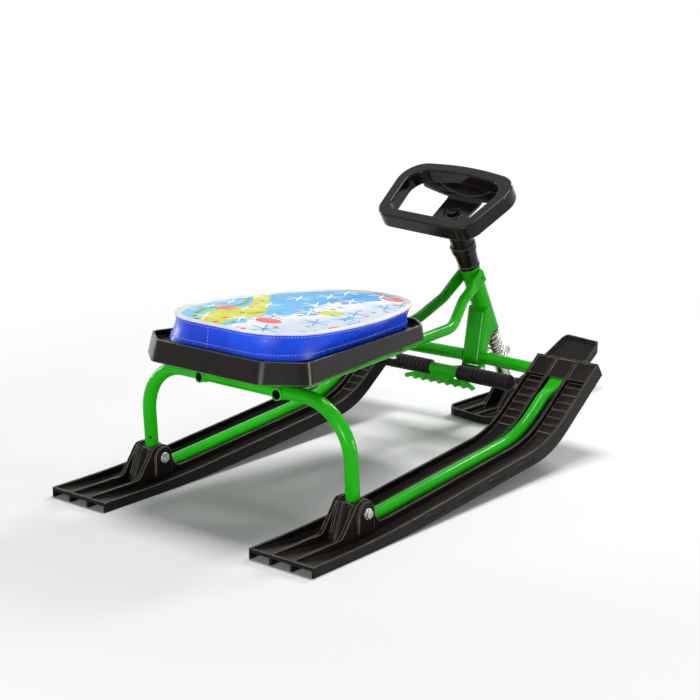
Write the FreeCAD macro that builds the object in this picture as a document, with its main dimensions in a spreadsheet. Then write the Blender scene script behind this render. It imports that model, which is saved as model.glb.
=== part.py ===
import FreeCAD, Part
import math
import os

V = FreeCAD.Vector
Placement = FreeCAD.Placement
Rotation = FreeCAD.Rotation

doc = FreeCAD.newDocument("steering_sled")
sheet = doc.addObject("Spreadsheet::Sheet", "sizes")


SIZES = {
    # Clearances
    "weld_gap": 0.05,  # gap left at a welded or glued seat
    "slip_gap": 0.15,  # gap round a fixed fastener
    "run_gap": 0.06,  # radial gap of a turning or sliding fit
    "side_gap": 0.45,  # gap beside a hinged piece
    "soft_gap": 0.8,  # gap round the cushion
    # Rear skis
    "ski_track": 382,  # distance between the rear ski centre lines
    "ski_width": 110,  # width of a rear ski
    "ski_tail": -506.5,  # rear end of the skis
    "ski_rim_height": 14.5,  # rim height at the tail
    "ski_kink": -365.5,  # where the rim starts to rise
    "ski_bend": 33.1,  # corner of the upturn
    "ski_bend_height": 48.8,  # rim height at the corner of the upturn
    "ski_nose": 168,  # rim end at the nose
    "ski_nose_height": 143,  # rim height at the nose
    "ski_kink_radius": 2000,  # radius of the slow rise
    "ski_bend_radius": 180,  # radius of the upturn
    "ski_nose_depth": 24.5,  # skirt depth at the nose
    "keel_kink": -323.5,  # where the skirt leaves the ground
    "keel_bend": 45.3,  # corner of the skirt's upturn
    "keel_bend_height": 27.7,  # skirt height at that corner
    "channel_depth": 10,  # depth of the three channels below the rim
    "tail_channel": 2.5,  # depth of the channels at the tail
    "tail_ramp": 78,  # length over which the channel floors rise to the tail
    "deck_thickness": 3,  # thickness of the channel floors
    "rim_wall": 3,  # thickness of the outer rims and skirts
    "rib_wall": 4,  # thickness of the two inner ribs
    "rib_offset": 18,  # rib distance from the ski centre line
    "step_start": 38,  # first step's distance from the nose end
    "step_count": 8,  # steps in each outer channel of the nose
    "step_pitch": 15.5,  # distance between the steps
    "lane_drop": 2.2,  # flat nose end of the outer channels below the rim
    "step_height": 2.6,  # height of a step
    "cap_length": 40,  # length of the nose cap
    "cap_thickness": 2.2,  # thickness of the nose cap
    "cap_drop": 0.8,  # nose cap below the rim
    "dent_length": 44,  # length of a skirt dent
    "dent_height": 6,  # height of a skirt dent
    "dent_depth": 1,  # depth of a skirt dent
    "bracket_top": 57.5,  # height of the leg bracket
    "bracket_rear": 48,  # foot of the bracket's ramp behind its bolt
    "bracket_front": 27,  # foot of the bracket's front slope ahead of its bolt
    "bracket_sweep": 16,  # radius at the foot of both slopes
    "bracket_ear": 6,  # thickness of a bracket ear
    "boss_width": 32,  # width of the arched boss round the bracket bolt
    "boss_out": 3,  # height of that boss on the ear
    "cup_wall": 4.5,  # wall of the cup round the leg's foot
    "trough_radius": 13,  # radius of the trough behind the leg
    "bracket_round": 14,  # radius of its upper corners
    # Frame tubes
    "leg_diameter": 20,  # leg tube
    "vent_height": 68,  # vent hole in a leg
    "vent_diameter": 4,  # vent holes in the legs and rail ends
    "tube_wall": 1.6,  # wall of the frame tubes
    "leg_foot": -359,  # leg and bracket bolt at the ski
    "leg_foot_height": 21,  # lower end of the leg tube
    "bolt_rise": 17.3,  # bracket bolt above the lower end of the leg tube
    "leg_top": -368.5,  # leg and crossbar at the seat
    "leg_top_height": 184,  # crossbar height
    "leg_bend_radius": 78,  # leg bend
    "rail_diameter": 17,  # seat rail tube
    "rail_rear": -380.7,  # rear end of the rails
    "rail_rear_half": 72.6,  # half the rail spacing at the rear
    "rail_rear_height": -2.5,  # rail above the crossbar at the rear
    "rail_bend": 75,  # corner of the rail bend
    "rail_bend_half": 36.5,  # half the rail spacing at the bend
    "rail_bend_height": 2,  # rail above the crossbar at the bend
    "rail_bend_radius": 60,  # rail bend
    "rail_top_radius": 45,  # second bend of a rail below its pressed end
    "rail_straight": 12,  # straight run of a rail before it is pressed flat
    "rail_seat": 282,  # rail height along the column
    "tab_thickness": 6.4,  # thickness of a pressed tube end
    "tab_width": 23,  # width of a pressed tube end
    "tab_length": 26,  # length of a pressed tube end
    "runner_tab": 42,  # length of a runner tube's pressed end, under the nose cap
    "press_length": 26,  # length over which a tube is pressed flat
    "runner_diameter": 19,  # runner tube in the ski
    "cross_diameter": 20,  # cross tube from the post to the ski nose
    "cross_post": 188.5,  # cross tube at the post
    "cross_post_height": 111.5,  # cross tube height at the post
    "cross_back": 12,  # cross tube distance behind the nose end
    "cross_reach": 30,  # cross tube past the ski centre line
    # Steering column
    "rake": 27.8,  # lean of the steering axis
    "column_foot": 309.2,  # steering axis at ground level
    "steer_turn": 4.5,  # how far the column is turned right of straight
    "head_bottom": 172,  # lower end of the head tube along the axis
    "head_top": 300,  # upper end of the head tube along the axis
    "head_diameter": 32,  # head tube
    "head_wall": 2,  # head tube wall
    "bush_length": 14,  # length of a bush inside the head tube
    "bush_flange": 2.5,  # flange of the lower bush
    "shaft_diameter": 20,  # steering shaft
    "shaft_bottom": 150,  # lower end of the shaft
    "shaft_bore": 16.4,  # bore of the shaft
    "sleeve_top": 45,  # upper end of the sleeve above the head tube
    "sleeve_top_diameter": 42,  # sleeve at its upper ring
    "sleeve_diameter": 33,  # sleeve at the head tube
    "sleeve_ring": 13,  # height of the sleeve's upper ring
    "neck_diameter": 36,  # wheel neck in the sleeve
    "stem_shoulder": 103,  # shoulder of the lower stem
    "stem_diameter": 22,  # lower stem
    "rod_top": 240,  # upper end of the stem rod
    "pivot": 45,  # front ski bolt along the axis
    "seat_diameter": 31,  # spring seat
    "seat_thickness": 3.5,  # spring seat
    "spring_diameter": 26,  # mean diameter of the spring
    "spring_wire": 4,  # spring wire
    "spring_turns": 5.5,  # turns of the spring
    "eye_diameter": 14,  # round tab on the stem
    "eye_thickness": 3.2,  # round tab on the stem
    "eye_hole": 6,  # hole of the round tab
    "eye_reach": 24.5,  # round tab in front of the axis
    # Wheel
    "wheel_height": 101,  # wheel above the sleeve along the axis
    "wheel_tilt": 4.4,  # wheel plane against the square of the axis
    "wheel_rear_half": 93,  # half the rear edge
    "wheel_front_half": 118.5,  # half the front edge
    "wheel_rear": -76,  # rear edge from the axis
    "wheel_front": 52,  # front corners from the axis
    "wheel_bow": 14,  # bow of the front edge
    "wheel_rear_round": 32,  # rear corner radius
    "wheel_front_round": 42,  # front corner radius
    "wheel_bow_radius": 460,  # radius of the bowed front
    "rim_width": 19,  # width of the wheel rim
    "rim_depth": 24,  # depth of the wheel rim
    "rim_shell": 3,  # wall of the wheel moulding
    "rim_edge": 3,  # rounding of the rim
    "hub_depth": 42,  # hub plate below the rim
    "hub_front": 32,  # front of the hub plate
    "hub_half": 34,  # half the hub plate at its front
    "hub_rear_half": 28,  # half the hub plate at its rear
    "panel_half": 88,  # half the dished panel at the front rim
    "panel_hollow": 1.2,  # depth of the shallow hollow in the panel
    "hub_recess": 24,  # diameter of the round recess in the hub
    # Front ski, measured along the straight-ahead direction
    "front_tail": 183.5,  # rear end of the front ski
    "front_lift": 2,  # underside above ground before the column is turned
    "front_rim_height": 15,  # rim of the front ski
    "front_bend": 372,  # corner of its upturn
    "front_nose": 501.4,  # rim end at its nose
    "front_nose_height": 86.6,  # rim height at its nose
    "front_bend_radius": 170,  # radius of its upturn
    "front_half": 50,  # half its greatest width
    "front_tail_half": 47,  # half its tail
    "front_nose_half": 37,  # half its nose
    "front_nose_depth": 13,  # skirt depth at its nose
    "nose_lip": 4.25,  # front ski's end past its rim line
    "front_nose_round": 18,  # corner radius of its nose
    "front_panel": 74,  # length of the plain panel behind its nose
    "front_channel": 7.5,  # depth of its channels
    "ear_wall": 5,  # ear thickness
    "ear_round": 13,  # ear radius round the bolt
    # Seat
    "seat_middle": -283.5,  # reference line of the seat planes
    "seat_pitch": 3.01,  # seat slope down to the front
    "tray_height": 51,  # tray rim above the crossbar at the reference line
    "tray_rear": -156,  # rear edge from the reference line
    "tray_rear_half": 96,  # half the rear edge
    "tray_corner": -116,  # widest corner from the reference line
    "tray_corner_half": 145,  # half the greatest width
    "tray_front": 248,  # front edge from the reference line
    "tray_front_corner": 214,  # front corner from the reference line
    "tray_front_corner_half": 86,  # half the width at the front corner
    "tray_front_half": 50,  # half the front edge
    "tray_round": 22,  # corner radius of the tray
    "tray_flare": 6,  # flare of the tray wall
    "tray_depth_rear": 31,  # tray wall at the rear
    "tray_depth_front": 20,  # tray wall at the front
    "tray_shell": 3,  # tray wall thickness
    "tray_recess": 9,  # seat floor below the tray rim
    "saddle_rear": -45,  # rear saddle from the reference line
    "saddle_front": 190,  # front saddle from the reference line
    "saddle_length": 16,  # length of a saddle
    "saddle_side": 4,  # saddle width beyond the rail on each side
    "cushion_rear": -150,  # rear of the cushion from the reference line
    "cushion_front": 247,  # front of the cushion
    "cushion_rear_half": 127,  # half the rear of the cushion
    "cushion_half": 131,  # half the cushion's greatest width
    "cushion_wide": 18,  # where the cushion is widest
    "cushion_front_half": 80,  # half the front of the cushion
    "cushion_rear_round": 72,  # rear corner radius
    "cushion_wide_round": 300,  # radius at the widest part
    "cushion_front_round": 70,  # front corner radius
    "cushion_seam": 33,  # piping above the tray rim
    "cushion_crown": 7,  # crown above the piping
    "cushion_draw": 6,  # how far the sides are drawn in at the waist
    # Foot brake
    "hinge": 180.5,  # brake hinge
    "hinge_height": 91,  # brake hinge height
    "pin_diameter": 8,  # hinge pin
    "barrel_diameter": 15,  # hinge barrel
    "post_half": 18.2,  # half the post's width
    "post_wall": 2,  # post plate thickness
    "post_round": 8,  # rounding of the post's rear edges
    "post_rise": 42,  # post's top above the head tube's lower end, along the axis
    "post_crook": 7,  # how far the post's top turns in to the head tube
    "foot_opening": 10.5,  # opening for the brake arm above its hinge
    "bar_along": 108.5,  # footrest bar
    "bar_height": 104.5,  # footrest bar height
    "bar_diameter": 18,  # footrest bar
    "bar_half": 122,  # half its length
    "grip_start": 27,  # inner end of a grip
    "grip_end": 4,  # closed end of a grip past the bar
    "grip_diameter": 25,  # grip
    "grip_groove": 1.6,  # depth of a grip groove
    "grip_rings": 12,  # raised rings of a grip
    "plate_half": 71.5,  # half the brake plate
    "plate_height": 19,  # height of the brake plate
    "plate_slope": 20,  # how far the plate ends slope in to its upper edge
    "plate_thickness": 2.4,  # brake plate
    "plate_lean": 46,  # lean of the brake plate
    "tooth_count": 8,  # teeth along the plate
    "tooth_depth": 3,  # depth of the scallops between the teeth
    # Fasteners
    "bolt_diameter": 8,  # ski bolts
    "bolt_head": 16,  # bolt head across corners
    "bolt_head_height": 5.5,  # bolt head
    "flange_height": 2.2,  # round flange under a ski bolt's head
    "nut_height": 6.5,  # ski bolt nuts
    "screw_diameter": 5,  # tray screws
    "screw_head": 10,  # tray screw head
}


class Sizes:
    """Driving sizes of the sled in millimetres and degrees, kept in the sheet and read back from it."""

    def __init__(self, table, values):
        self.table = table
        for row, (name, value) in enumerate(values.items(), 1):
            table.set("A%d" % row, name)
            table.set("B%d" % row, str(value))
            table.setAlias("B%d" % row, name)

    def __getattr__(self, name):
        return float(self.table.get(name))


size = Sizes(sheet, SIZES)
doc.recompute()

SIDES = {"left": -1, "right": 1}
TO_SIDE = Rotation(V(1, 1, 1), 120)
COLUMN = Placement(V(0, size.column_foot, 0), Rotation(V(1, 0, 0), size.rake))
STEER = COLUMN.multiply(Placement(V(), Rotation(V(0, 0, 1), -size.steer_turn)))
SEAT_TOP = V(0, size.seat_middle, size.leg_top_height + size.tray_height)
SEAT = Placement(SEAT_TOP, Rotation(V(1, 0, 0), -size.seat_pitch))
nodes = []


def node(item, label):
    """Give a finished piece its own name."""
    item.Label = label
    nodes.append(item)
    return item


def round_path(points, radii):
    """Straight runs through the points, joined by tangent arcs of the given radii."""
    pieces = []
    start = points[0]
    for index in range(1, len(points) - 1):
        corner = points[index]
        way_in = (corner - points[index - 1]).normalize()
        way_out = (points[index + 1] - corner).normalize()
        turn = way_in.getAngle(way_out)
        radius = radii[index - 1]
        reach = radius * math.tan(turn / 2)
        inward = (way_out - way_in).normalize()
        first = corner - way_in * reach
        last = corner + way_out * reach
        middle = corner + inward * (radius / math.cos(turn / 2) - radius)
        pieces.append(Part.LineSegment(start, first))
        pieces.append(Part.Arc(first, middle, last))
        start = last
    pieces.append(Part.LineSegment(start, points[-1]))
    return pieces


def round_loop(points, radii):
    """Closed outline with a rounded corner at every point."""
    half = (points[-1] + points[0]) * 0.5
    return round_path([half] + points + [half], radii)


def offset_path(points, distance):
    """Open line moved sideways to its left by the distance."""
    normals = []
    for index in range(len(points) - 1):
        way = (points[index + 1] - points[index]).normalize()
        normals.append(V(-way.y, way.x, 0))
    moved = [points[0] + normals[0] * distance]
    for index in range(1, len(points) - 1):
        first = normals[index - 1]
        second = normals[index]
        share = distance / (1 + first.dot(second))
        moved.append(points[index] + (first + second) * share)
    moved.append(points[-1] + normals[-1] * distance)
    return moved


def inset_loop(points, distance):
    """Closed outline, drawn anticlockwise, moved inward by the distance."""
    count = len(points)
    moved = []
    for index in range(count):
        way_in = (points[index] - points[index - 1]).normalize()
        way_out = (points[(index + 1) % count] - points[index]).normalize()
        first = V(-way_in.y, way_in.x, 0)
        second = V(-way_out.y, way_out.x, 0)
        share = distance / (1 + first.dot(second))
        moved.append(points[index] + (first + second) * share)
    return moved


def trim_path(points, front, back):
    """Shorten an open line at its two ends."""
    first = points[0] + (points[1] - points[0]).normalize() * front
    last = points[-1] + (points[-2] - points[-1]).normalize() * back
    return [first] + points[1:-1] + [last]


def band(lower, lower_radii, upper, upper_radii):
    """Closed outline between two open lines that run the same way."""
    pieces = round_path(lower, lower_radii)
    pieces.append(Part.LineSegment(lower[-1], upper[-1]))
    pieces += round_path(list(reversed(upper)), list(reversed(upper_radii)))
    pieces.append(Part.LineSegment(upper[0], lower[0]))
    return pieces


def polygon(points):
    """Closed outline of straight lines."""
    return [Part.LineSegment(points[i - 1], points[i]) for i in range(len(points))]


def sketch(name, pieces, placement):
    """Sketch of the given outline."""
    drawing = doc.addObject("Sketcher::SketchObject", name)
    drawing.addGeometry(pieces, False)
    drawing.Placement = placement
    return drawing


def prism(name, pieces, placement, length, symmetric=True):
    """Outline drawn out by a length given as an expression."""
    solid = doc.addObject("Part::Extrusion", name)
    solid.Base = sketch(name + "_outline", pieces, placement)
    solid.DirMode = "Normal"
    solid.setExpression("LengthFwd", length)
    solid.Symmetric = symmetric
    solid.Solid = True
    return solid


def side_prism(name, pieces, middle, width):
    """Outline in the side view drawn out across the sled."""
    return prism(name, pieces, Placement(V(middle, 0, 0), TO_SIDE), width)


def rod(name, start, direction, radius, length):
    """Round bar whose radius and length are expressions."""
    bar = doc.addObject("Part::Cylinder", name)
    bar.setExpression("Radius", radius)
    bar.setExpression("Height", length)
    bar.Placement = Placement(start, Rotation(V(0, 0, 1), direction))
    return bar


def hexagon(name, start, direction, across, length):
    """Six-sided head or nut."""
    head = doc.addObject("Part::Prism", name)
    head.Polygon = 6
    head.setExpression("Circumradius", across)
    head.setExpression("Height", length)
    head.Placement = Placement(start, Rotation(V(0, 0, 1), direction))
    return head


def join(name, items):
    """Pieces made into one."""
    whole = doc.addObject("Part::MultiFuse", name)
    whole.Shapes = items
    whole.Refine = True
    return whole


def cut(name, base, tools):
    """Base with the tools taken away."""
    result = doc.addObject("Part::Cut", name)
    result.Base = base
    result.Tool = tools[0] if len(tools) == 1 else join(name + "_tools", tools)
    result.Refine = True
    return result


def common(name, first, second):
    """Space that two pieces share."""
    result = doc.addObject("Part::MultiCommon", name)
    result.Shapes = [first, second]
    result.Refine = True
    return result


def sweep(name, spine, start, direction, radius):
    """Round section, radius as an expression, carried along a line."""
    ring = doc.addObject("Part::Circle", name + "_ring")
    ring.setExpression("Radius", radius)
    ring.Placement = Placement(start, Rotation(V(0, 0, 1), direction))
    solid = doc.addObject("Part::Sweep", name)
    solid.Sections = [ring]
    solid.Spine = (spine, ["Edge%d" % (i + 1) for i in range(len(spine.Shape.Edges))])
    solid.Solid = True
    solid.Frenet = False
    return solid


def tube(name, points, radii, outside):
    """Bent tube; outside is the name of its diameter."""
    spine = doc.addObject("Part::Feature", name + "_line")
    spine.Shape = Part.Wire([piece.toShape() for piece in round_path(points, radii)])
    way = (points[1] - points[0]).normalize()
    skin = sweep(name + "_skin", spine, points[0], way, "sizes.%s / 2" % outside)
    core = sweep(name + "_core", spine, points[0], way, "sizes.%s / 2 - sizes.tube_wall" % outside)
    return cut(name, skin, [core])


def section(centre, across, up, half_width, half_height, corner):
    """Closed section of eight lines and arcs; a full corner radius makes it round."""
    pieces = []
    wide = half_width - corner
    high = half_height - corner
    signs = [(1, -1), (1, 1), (-1, 1), (-1, -1)]
    starts = [-90, 0, 90, 180]
    eighth = 22.5
    for (sx, sy), angle in zip(signs, starts):
        heart = centre + across * (sx * wide) + up * (sy * high)
        spots = []
        for step in (eighth, 45, 90 - eighth):
            turn = math.radians(angle + step)
            spots.append(heart + across * (corner * math.cos(turn)) + up * (corner * math.sin(turn)))
        if pieces:
            pieces.append(side_piece(pieces[-1], spots[0], centre, wide + high))
        pieces.append(Part.Arc(*spots))
    pieces.append(side_piece(pieces[-1], pieces[0].StartPoint, centre, wide + high))
    return Part.Wire([piece.toShape() for piece in pieces])


def side_piece(before, after, centre, flat):
    """Side of a section between two corners: an arc on a round one, else a line."""
    start = before.EndPoint
    middle = (start + after) * 0.5
    reach = (middle - centre).normalize()
    corner_reach = (start - centre).Length
    if flat < 1e-6:
        return Part.Arc(start, centre + reach * corner_reach, after)
    return Part.LineSegment(start, after)


def pressed_end(name, start, way, across, diameter, length, sink=V(0, 0, 0)):
    """Solid end of a tube pressed flat; the wide way of the tab runs along across."""
    up = way.cross(across).normalize()
    half = diameter / 2
    thin = size.tab_thickness / 2
    at_press = start + way * size.press_length + sink
    at_end = at_press + way * length
    round_face = section(start, across, up, half, half, half)
    flat_face = section(at_press, across, up, size.tab_width / 2, thin, thin * 0.8)
    end_face = section(at_end, across, up, size.tab_width / 2, thin, thin * 0.8)
    piece = doc.addObject("Part::Feature", name)
    blend = Part.makeLoft([round_face, flat_face], True, True)
    tab = Part.makeLoft([flat_face, end_face], True, True)
    piece.Shape = blend.fuse(tab).removeSplitter()
    return piece


def turned(label, profile, placement):
    """Body turned from radius and height pairs about its own axis."""
    body = doc.addObject("PartDesign::Body", label)
    drawing = body.newObject("Sketcher::SketchObject", label + "_profile")
    for plane in body.Origin.OriginFeatures:
        if plane.Role == "XZ_Plane":
            drawing.AttachmentSupport = [(plane, "")]
    drawing.MapMode = "FlatFace"
    drawing.addGeometry(polygon([V(r, h, 0) for r, h in profile]), False)
    turn = body.newObject("PartDesign::Revolution", label + "_turn")
    turn.Profile = drawing
    turn.ReferenceAxis = (drawing, ["V_Axis"])
    turn.Angle = 360
    body.Tip = turn
    body.Placement = placement
    return body


def ring_profile(inner, outer, low, high):
    """Profile of a plain ring."""
    return [(inner, low), (outer, low), (outer, high), (inner, high)]


def rail_points(side):
    """Centre line of a seat rail up to where it is pressed flat."""
    seat = COLUMN.multVec(V(0, 0, size.rail_seat))
    reach = size.head_diameter / 2 + size.weld_gap + size.tab_thickness / 2
    rear = V(side * size.rail_rear_half, size.rail_rear, size.leg_top_height + size.rail_rear_height)
    bend = V(side * size.rail_bend_half, size.rail_bend, size.leg_top_height + size.rail_bend_height)
    end = V(side * reach, seat.y, seat.z)
    rise = (end - bend).normalize()
    way = V(0, rise.y, rise.z).normalize()
    stop = end - way * (size.press_length + size.tab_length * 0.85)
    turn = stop - way * size.rail_straight
    return rear, bend, turn, stop, way


def ski_rim():
    """Rim line of a rear ski in the side view."""
    return [
        V(size.ski_tail, size.ski_rim_height, 0),
        V(size.ski_kink, size.ski_rim_height, 0),
        V(size.ski_bend, size.ski_bend_height, 0),
        V(size.ski_nose, size.ski_nose_height, 0),
    ]


def nose_spot(rim, back, down):
    """Point near a ski's nose, measured back along the rim line and square below it."""
    way = (rim[-1] - rim[-2]).normalize()
    return rim[-1] - way * back + V(way.y, -way.x, 0) * down


def cross_points(side):
    """Centre line of a cross tube from the post to the ski."""
    nose = nose_spot(ski_rim(), size.cross_back, cross_drop())
    x_post = side * (size.post_half + size.weld_gap)
    x_ski = side * size.ski_track / 2
    post = V(x_post, size.cross_post, size.cross_post_height)
    way = (V(x_ski, nose.x, nose.y) - post).normalize()
    return post, post + way * (abs(x_ski - x_post) + size.cross_reach), way


def cross_drop():
    """Cross tube below the rim line."""
    return size.channel_depth + size.deck_thickness + size.cross_diameter / 2 + 4.5


def leg_points(side):
    """Centre line of a leg from the ski to the rail."""
    ski = side * size.ski_track / 2
    foot = V(ski, size.leg_foot, size.leg_foot_height)
    top = V(ski - side * 1.0, size.leg_top, size.leg_top_height)
    return [foot, top, V(side * size.rail_rear_half, size.leg_top, size.leg_top_height)]


def make_rear_ski(name):
    """Moulded rear ski: ribbed deck on skirts, stepped nose, leg bracket and nose cap."""
    side = SIDES[name]
    middle = side * size.ski_track / 2
    rim = ski_rim()
    radii = [size.ski_kink_radius, size.ski_bend_radius]

    def line(drop, tail_drop):
        path = offset_path(rim, -drop)
        heel = V(size.ski_tail, size.ski_rim_height - tail_drop, 0)
        rise = V(size.ski_tail + size.tail_ramp, path[0].y, 0)
        return [heel, rise] + path[1:], [4 * size.tail_ramp, 0.45 * radii[0], radii[1] + drop]

    keel = [
        V(size.ski_tail, 0, 0),
        V(size.keel_kink, 0, 0),
        V(size.keel_bend, size.keel_bend_height, 0),
        nose_spot(rim, 0, size.ski_nose_depth),
    ]
    keel_radii = [size.ski_kink_radius, size.ski_bend_radius * 0.95]
    blank = side_prism(name + "_blank", band(keel, keel_radii, rim, radii), middle, "sizes.ski_width")

    rim_wall = size.rim_wall
    deck, deck_radii = line(size.channel_depth, size.tail_channel)
    under, under_radii = line(size.channel_depth + size.deck_thickness,
                              size.tail_channel + size.deck_thickness)
    over = offset_path(rim, 40)
    over_radii = [radius - 40 for radius in radii]
    below = offset_path(keel, -40)
    below_radii = [radius + 40 for radius in keel_radii]
    upper = band(trim_path(deck, rim_wall, rim_wall), deck_radii, trim_path(over, rim_wall, rim_wall),
                 over_radii)
    lower = band(trim_path(below, -rim_wall, rim_wall), below_radii,
                 trim_path(under, -rim_wall, rim_wall), under_radii)
    inner = size.rib_offset + size.rib_wall / 2
    outer = size.ski_width / 2 - rim_wall
    outer_width = "sizes.ski_width / 2 - sizes.rim_wall - sizes.rib_offset - sizes.rib_wall / 2"
    centre_width = "2 * sizes.rib_offset - sizes.rib_wall"
    lanes = [(-(inner + outer) / 2, outer_width), (0, centre_width), ((inner + outer) / 2, outer_width)]
    hollows = []
    for number, (shift, width) in enumerate(lanes):
        hollows.append(side_prism("%s_channel%d" % (name, number), upper, middle + shift, width))
        hollows.append(side_prism("%s_hollow%d" % (name, number), lower, middle + shift, width))
    shell = cut(name + "_shell", blank, hollows)

    steps = []
    way = (rim[-1] - rim[-2]).normalize()
    for number in range(int(size.step_count)):
        back = size.step_start + number * size.step_pitch
        low = size.channel_depth + 0.5
        foot = nose_spot(rim, back, low)
        heel = nose_spot(rim, back + size.step_pitch * 0.72, low)
        lip = nose_spot(rim, back + size.step_pitch * 0.72, size.channel_depth - size.step_height)
        steps += polygon([foot, lip, heel])
    flat = polygon([
        nose_spot(rim, 0.5, size.lane_drop),
        nose_spot(rim, size.step_start, size.lane_drop),
        nose_spot(rim, size.step_start, size.channel_depth + 0.5),
        nose_spot(rim, 0.5, size.channel_depth + 0.5),
    ])
    extras = []
    for number in (0, 2):
        shift = middle + lanes[number][0]
        extras.append(side_prism("%s_steps%d" % (name, number), steps, shift, outer_width))
        extras.append(side_prism("%s_flat%d" % (name, number), flat, shift, outer_width))
    cap_low = size.cap_drop + size.cap_thickness
    cap = polygon([
        nose_spot(rim, 0.5, size.cap_drop),
        nose_spot(rim, size.cap_length, size.cap_drop),
        nose_spot(rim, size.cap_length, cap_low),
        nose_spot(rim, 0.5, cap_low),
    ])
    extras.append(side_prism(name + "_cap", cap, middle, centre_width + " + sizes.rib_wall"))
    boss_low = cross_drop() + 2
    boss = polygon([
        nose_spot(rim, 1, size.channel_depth + 1),
        nose_spot(rim, 2 * size.cross_back, size.channel_depth + 1),
        nose_spot(rim, 2 * size.cross_back, boss_low),
        nose_spot(rim, 1, boss_low),
    ])
    extras.append(side_prism(name + "_boss", boss, middle, centre_width + " + sizes.rib_wall"))
    foot_y = size.leg_foot
    base = size.ski_rim_height - size.channel_depth - 1
    rear_y = foot_y - size.bracket_rear
    front_y = foot_y + size.bracket_front
    rear_rim = rim_height(rear_y)
    front_rim = rim_height(front_y)
    arch = size.bracket_round
    bracket = round_loop(
        [
            V(rear_y - arch, base, 0),
            V(front_y + arch, base, 0),
            V(front_y + arch, rim_height(front_y + arch), 0),
            V(front_y, front_rim, 0),
            V(foot_y + arch * 0.65, size.bracket_top, 0),
            V(foot_y - arch * 1.15, size.bracket_top, 0),
            V(rear_y, rear_rim, 0),
            V(rear_y - arch, rear_rim, 0),
        ],
        [1, 1, 1, size.bracket_sweep, arch, arch, size.bracket_sweep, 1],
    )
    boss_half = size.boss_width / 2
    arched = round_loop(
        [
            V(foot_y - boss_half, base, 0),
            V(foot_y + boss_half, base, 0),
            V(foot_y + boss_half, bolt_height() + boss_half, 0),
            V(foot_y - boss_half, bolt_height() + boss_half, 0),
        ],
        [1, 1, boss_half - 0.1, boss_half - 0.1],
    )
    ear_out = size.rib_offset + size.rib_wall / 2
    for number, sign in enumerate((-1, 1)):
        ear = middle + sign * (ear_out - size.bracket_ear / 2)
        extras.append(side_prism("%s_ear%d" % (name, number), bracket, ear, "sizes.bracket_ear"))
        pad = middle + sign * (ear_out + size.boss_out / 2)
        extras.append(side_prism("%s_arch%d" % (name, number), arched, pad, "sizes.boss_out"))
    cup_top = size.bracket_top - 4
    ramp_foot = V(foot_y - size.bracket_rear * 0.8, base, 0)
    ramp_top = V(foot_y - size.leg_diameter / 2 - size.cup_wall * 2, cup_top, 0)
    ramp = polygon([ramp_foot, V(foot_y, base, 0), V(foot_y, cup_top, 0), ramp_top])
    fill = side_prism(name + "_ramp", ramp, middle, "2 * sizes.rib_offset")
    slope = (ramp_top - ramp_foot).normalize()
    away = V(-slope.y, slope.x, 0) * (size.trough_radius * 0.62)
    trough_start = ramp_foot - slope * 40 + away
    trough = rod(name + "_trough", V(middle, trough_start.x, trough_start.y), V(0, slope.x, slope.y),
                 "sizes.trough_radius", "3 * sizes.bracket_top")
    extras.append(cut(name + "_scoop", fill, [trough]))
    leg = leg_points(side)
    leg_way = (leg[1] - leg[0]).normalize()
    extras.append(rod(name + "_cup", leg[0] - leg_way * 14, leg_way,
                      "sizes.leg_diameter / 2 + sizes.cup_wall",
                      "%f" % (cup_top - size.leg_foot_height + 14)))
    body = join(name + "_body", [shell] + extras)

    bolt_y = size.leg_foot
    tools = [
        rod(name + "_socket", leg[0], leg_way, "sizes.leg_diameter / 2 + sizes.slip_gap",
            "sizes.bracket_top * 2"),
        rod(name + "_bolt_hole", V(middle - 60, bolt_y, bolt_height()), V(1, 0, 0),
            "sizes.bolt_diameter / 2 + sizes.slip_gap", "120"),
    ]
    post, end, way3 = cross_points(side)
    tools.append(rod(name + "_cross_hole", post, way3, "sizes.cross_diameter / 2 + sizes.weld_gap",
                     "%f" % ((end - post).Length + size.weld_gap)))
    dent_y = (size.keel_kink + size.keel_bend) / 2
    for number in range(4):
        spot = dent_y + (number - 1.5) * size.dent_length * 1.7
        height = size.keel_bend_height * (spot - size.keel_kink) / (size.keel_bend - size.keel_kink)
        dent = round_loop(
            [
                V(spot - size.dent_length / 2, height + 6, 0),
                V(spot + size.dent_length / 2, height + 7, 0),
                V(spot + size.dent_length / 2, height + 7 + size.dent_height, 0),
                V(spot - size.dent_length / 2, height + 6 + size.dent_height, 0),
            ],
            [2.5, 2.5, 2.5, 2.5],
        )
        edge = middle + side * size.ski_width / 2
        tools.append(side_prism("%s_dent%d" % (name, number), dent, edge, "2 * sizes.dent_depth"))
    return node(cut(name + "_ski", body, tools), name + "_ski")


def bolt_height():
    """Height of the ski bracket bolts."""
    return size.leg_foot_height + size.bolt_rise


def rim_height(along):
    """Height of the ski's rim line over its long run."""
    rim = ski_rim()
    share = max(along - rim[1].x, 0) / (rim[2].x - rim[1].x)
    return rim[1].y + (rim[2].y - rim[1].y) * share


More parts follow.
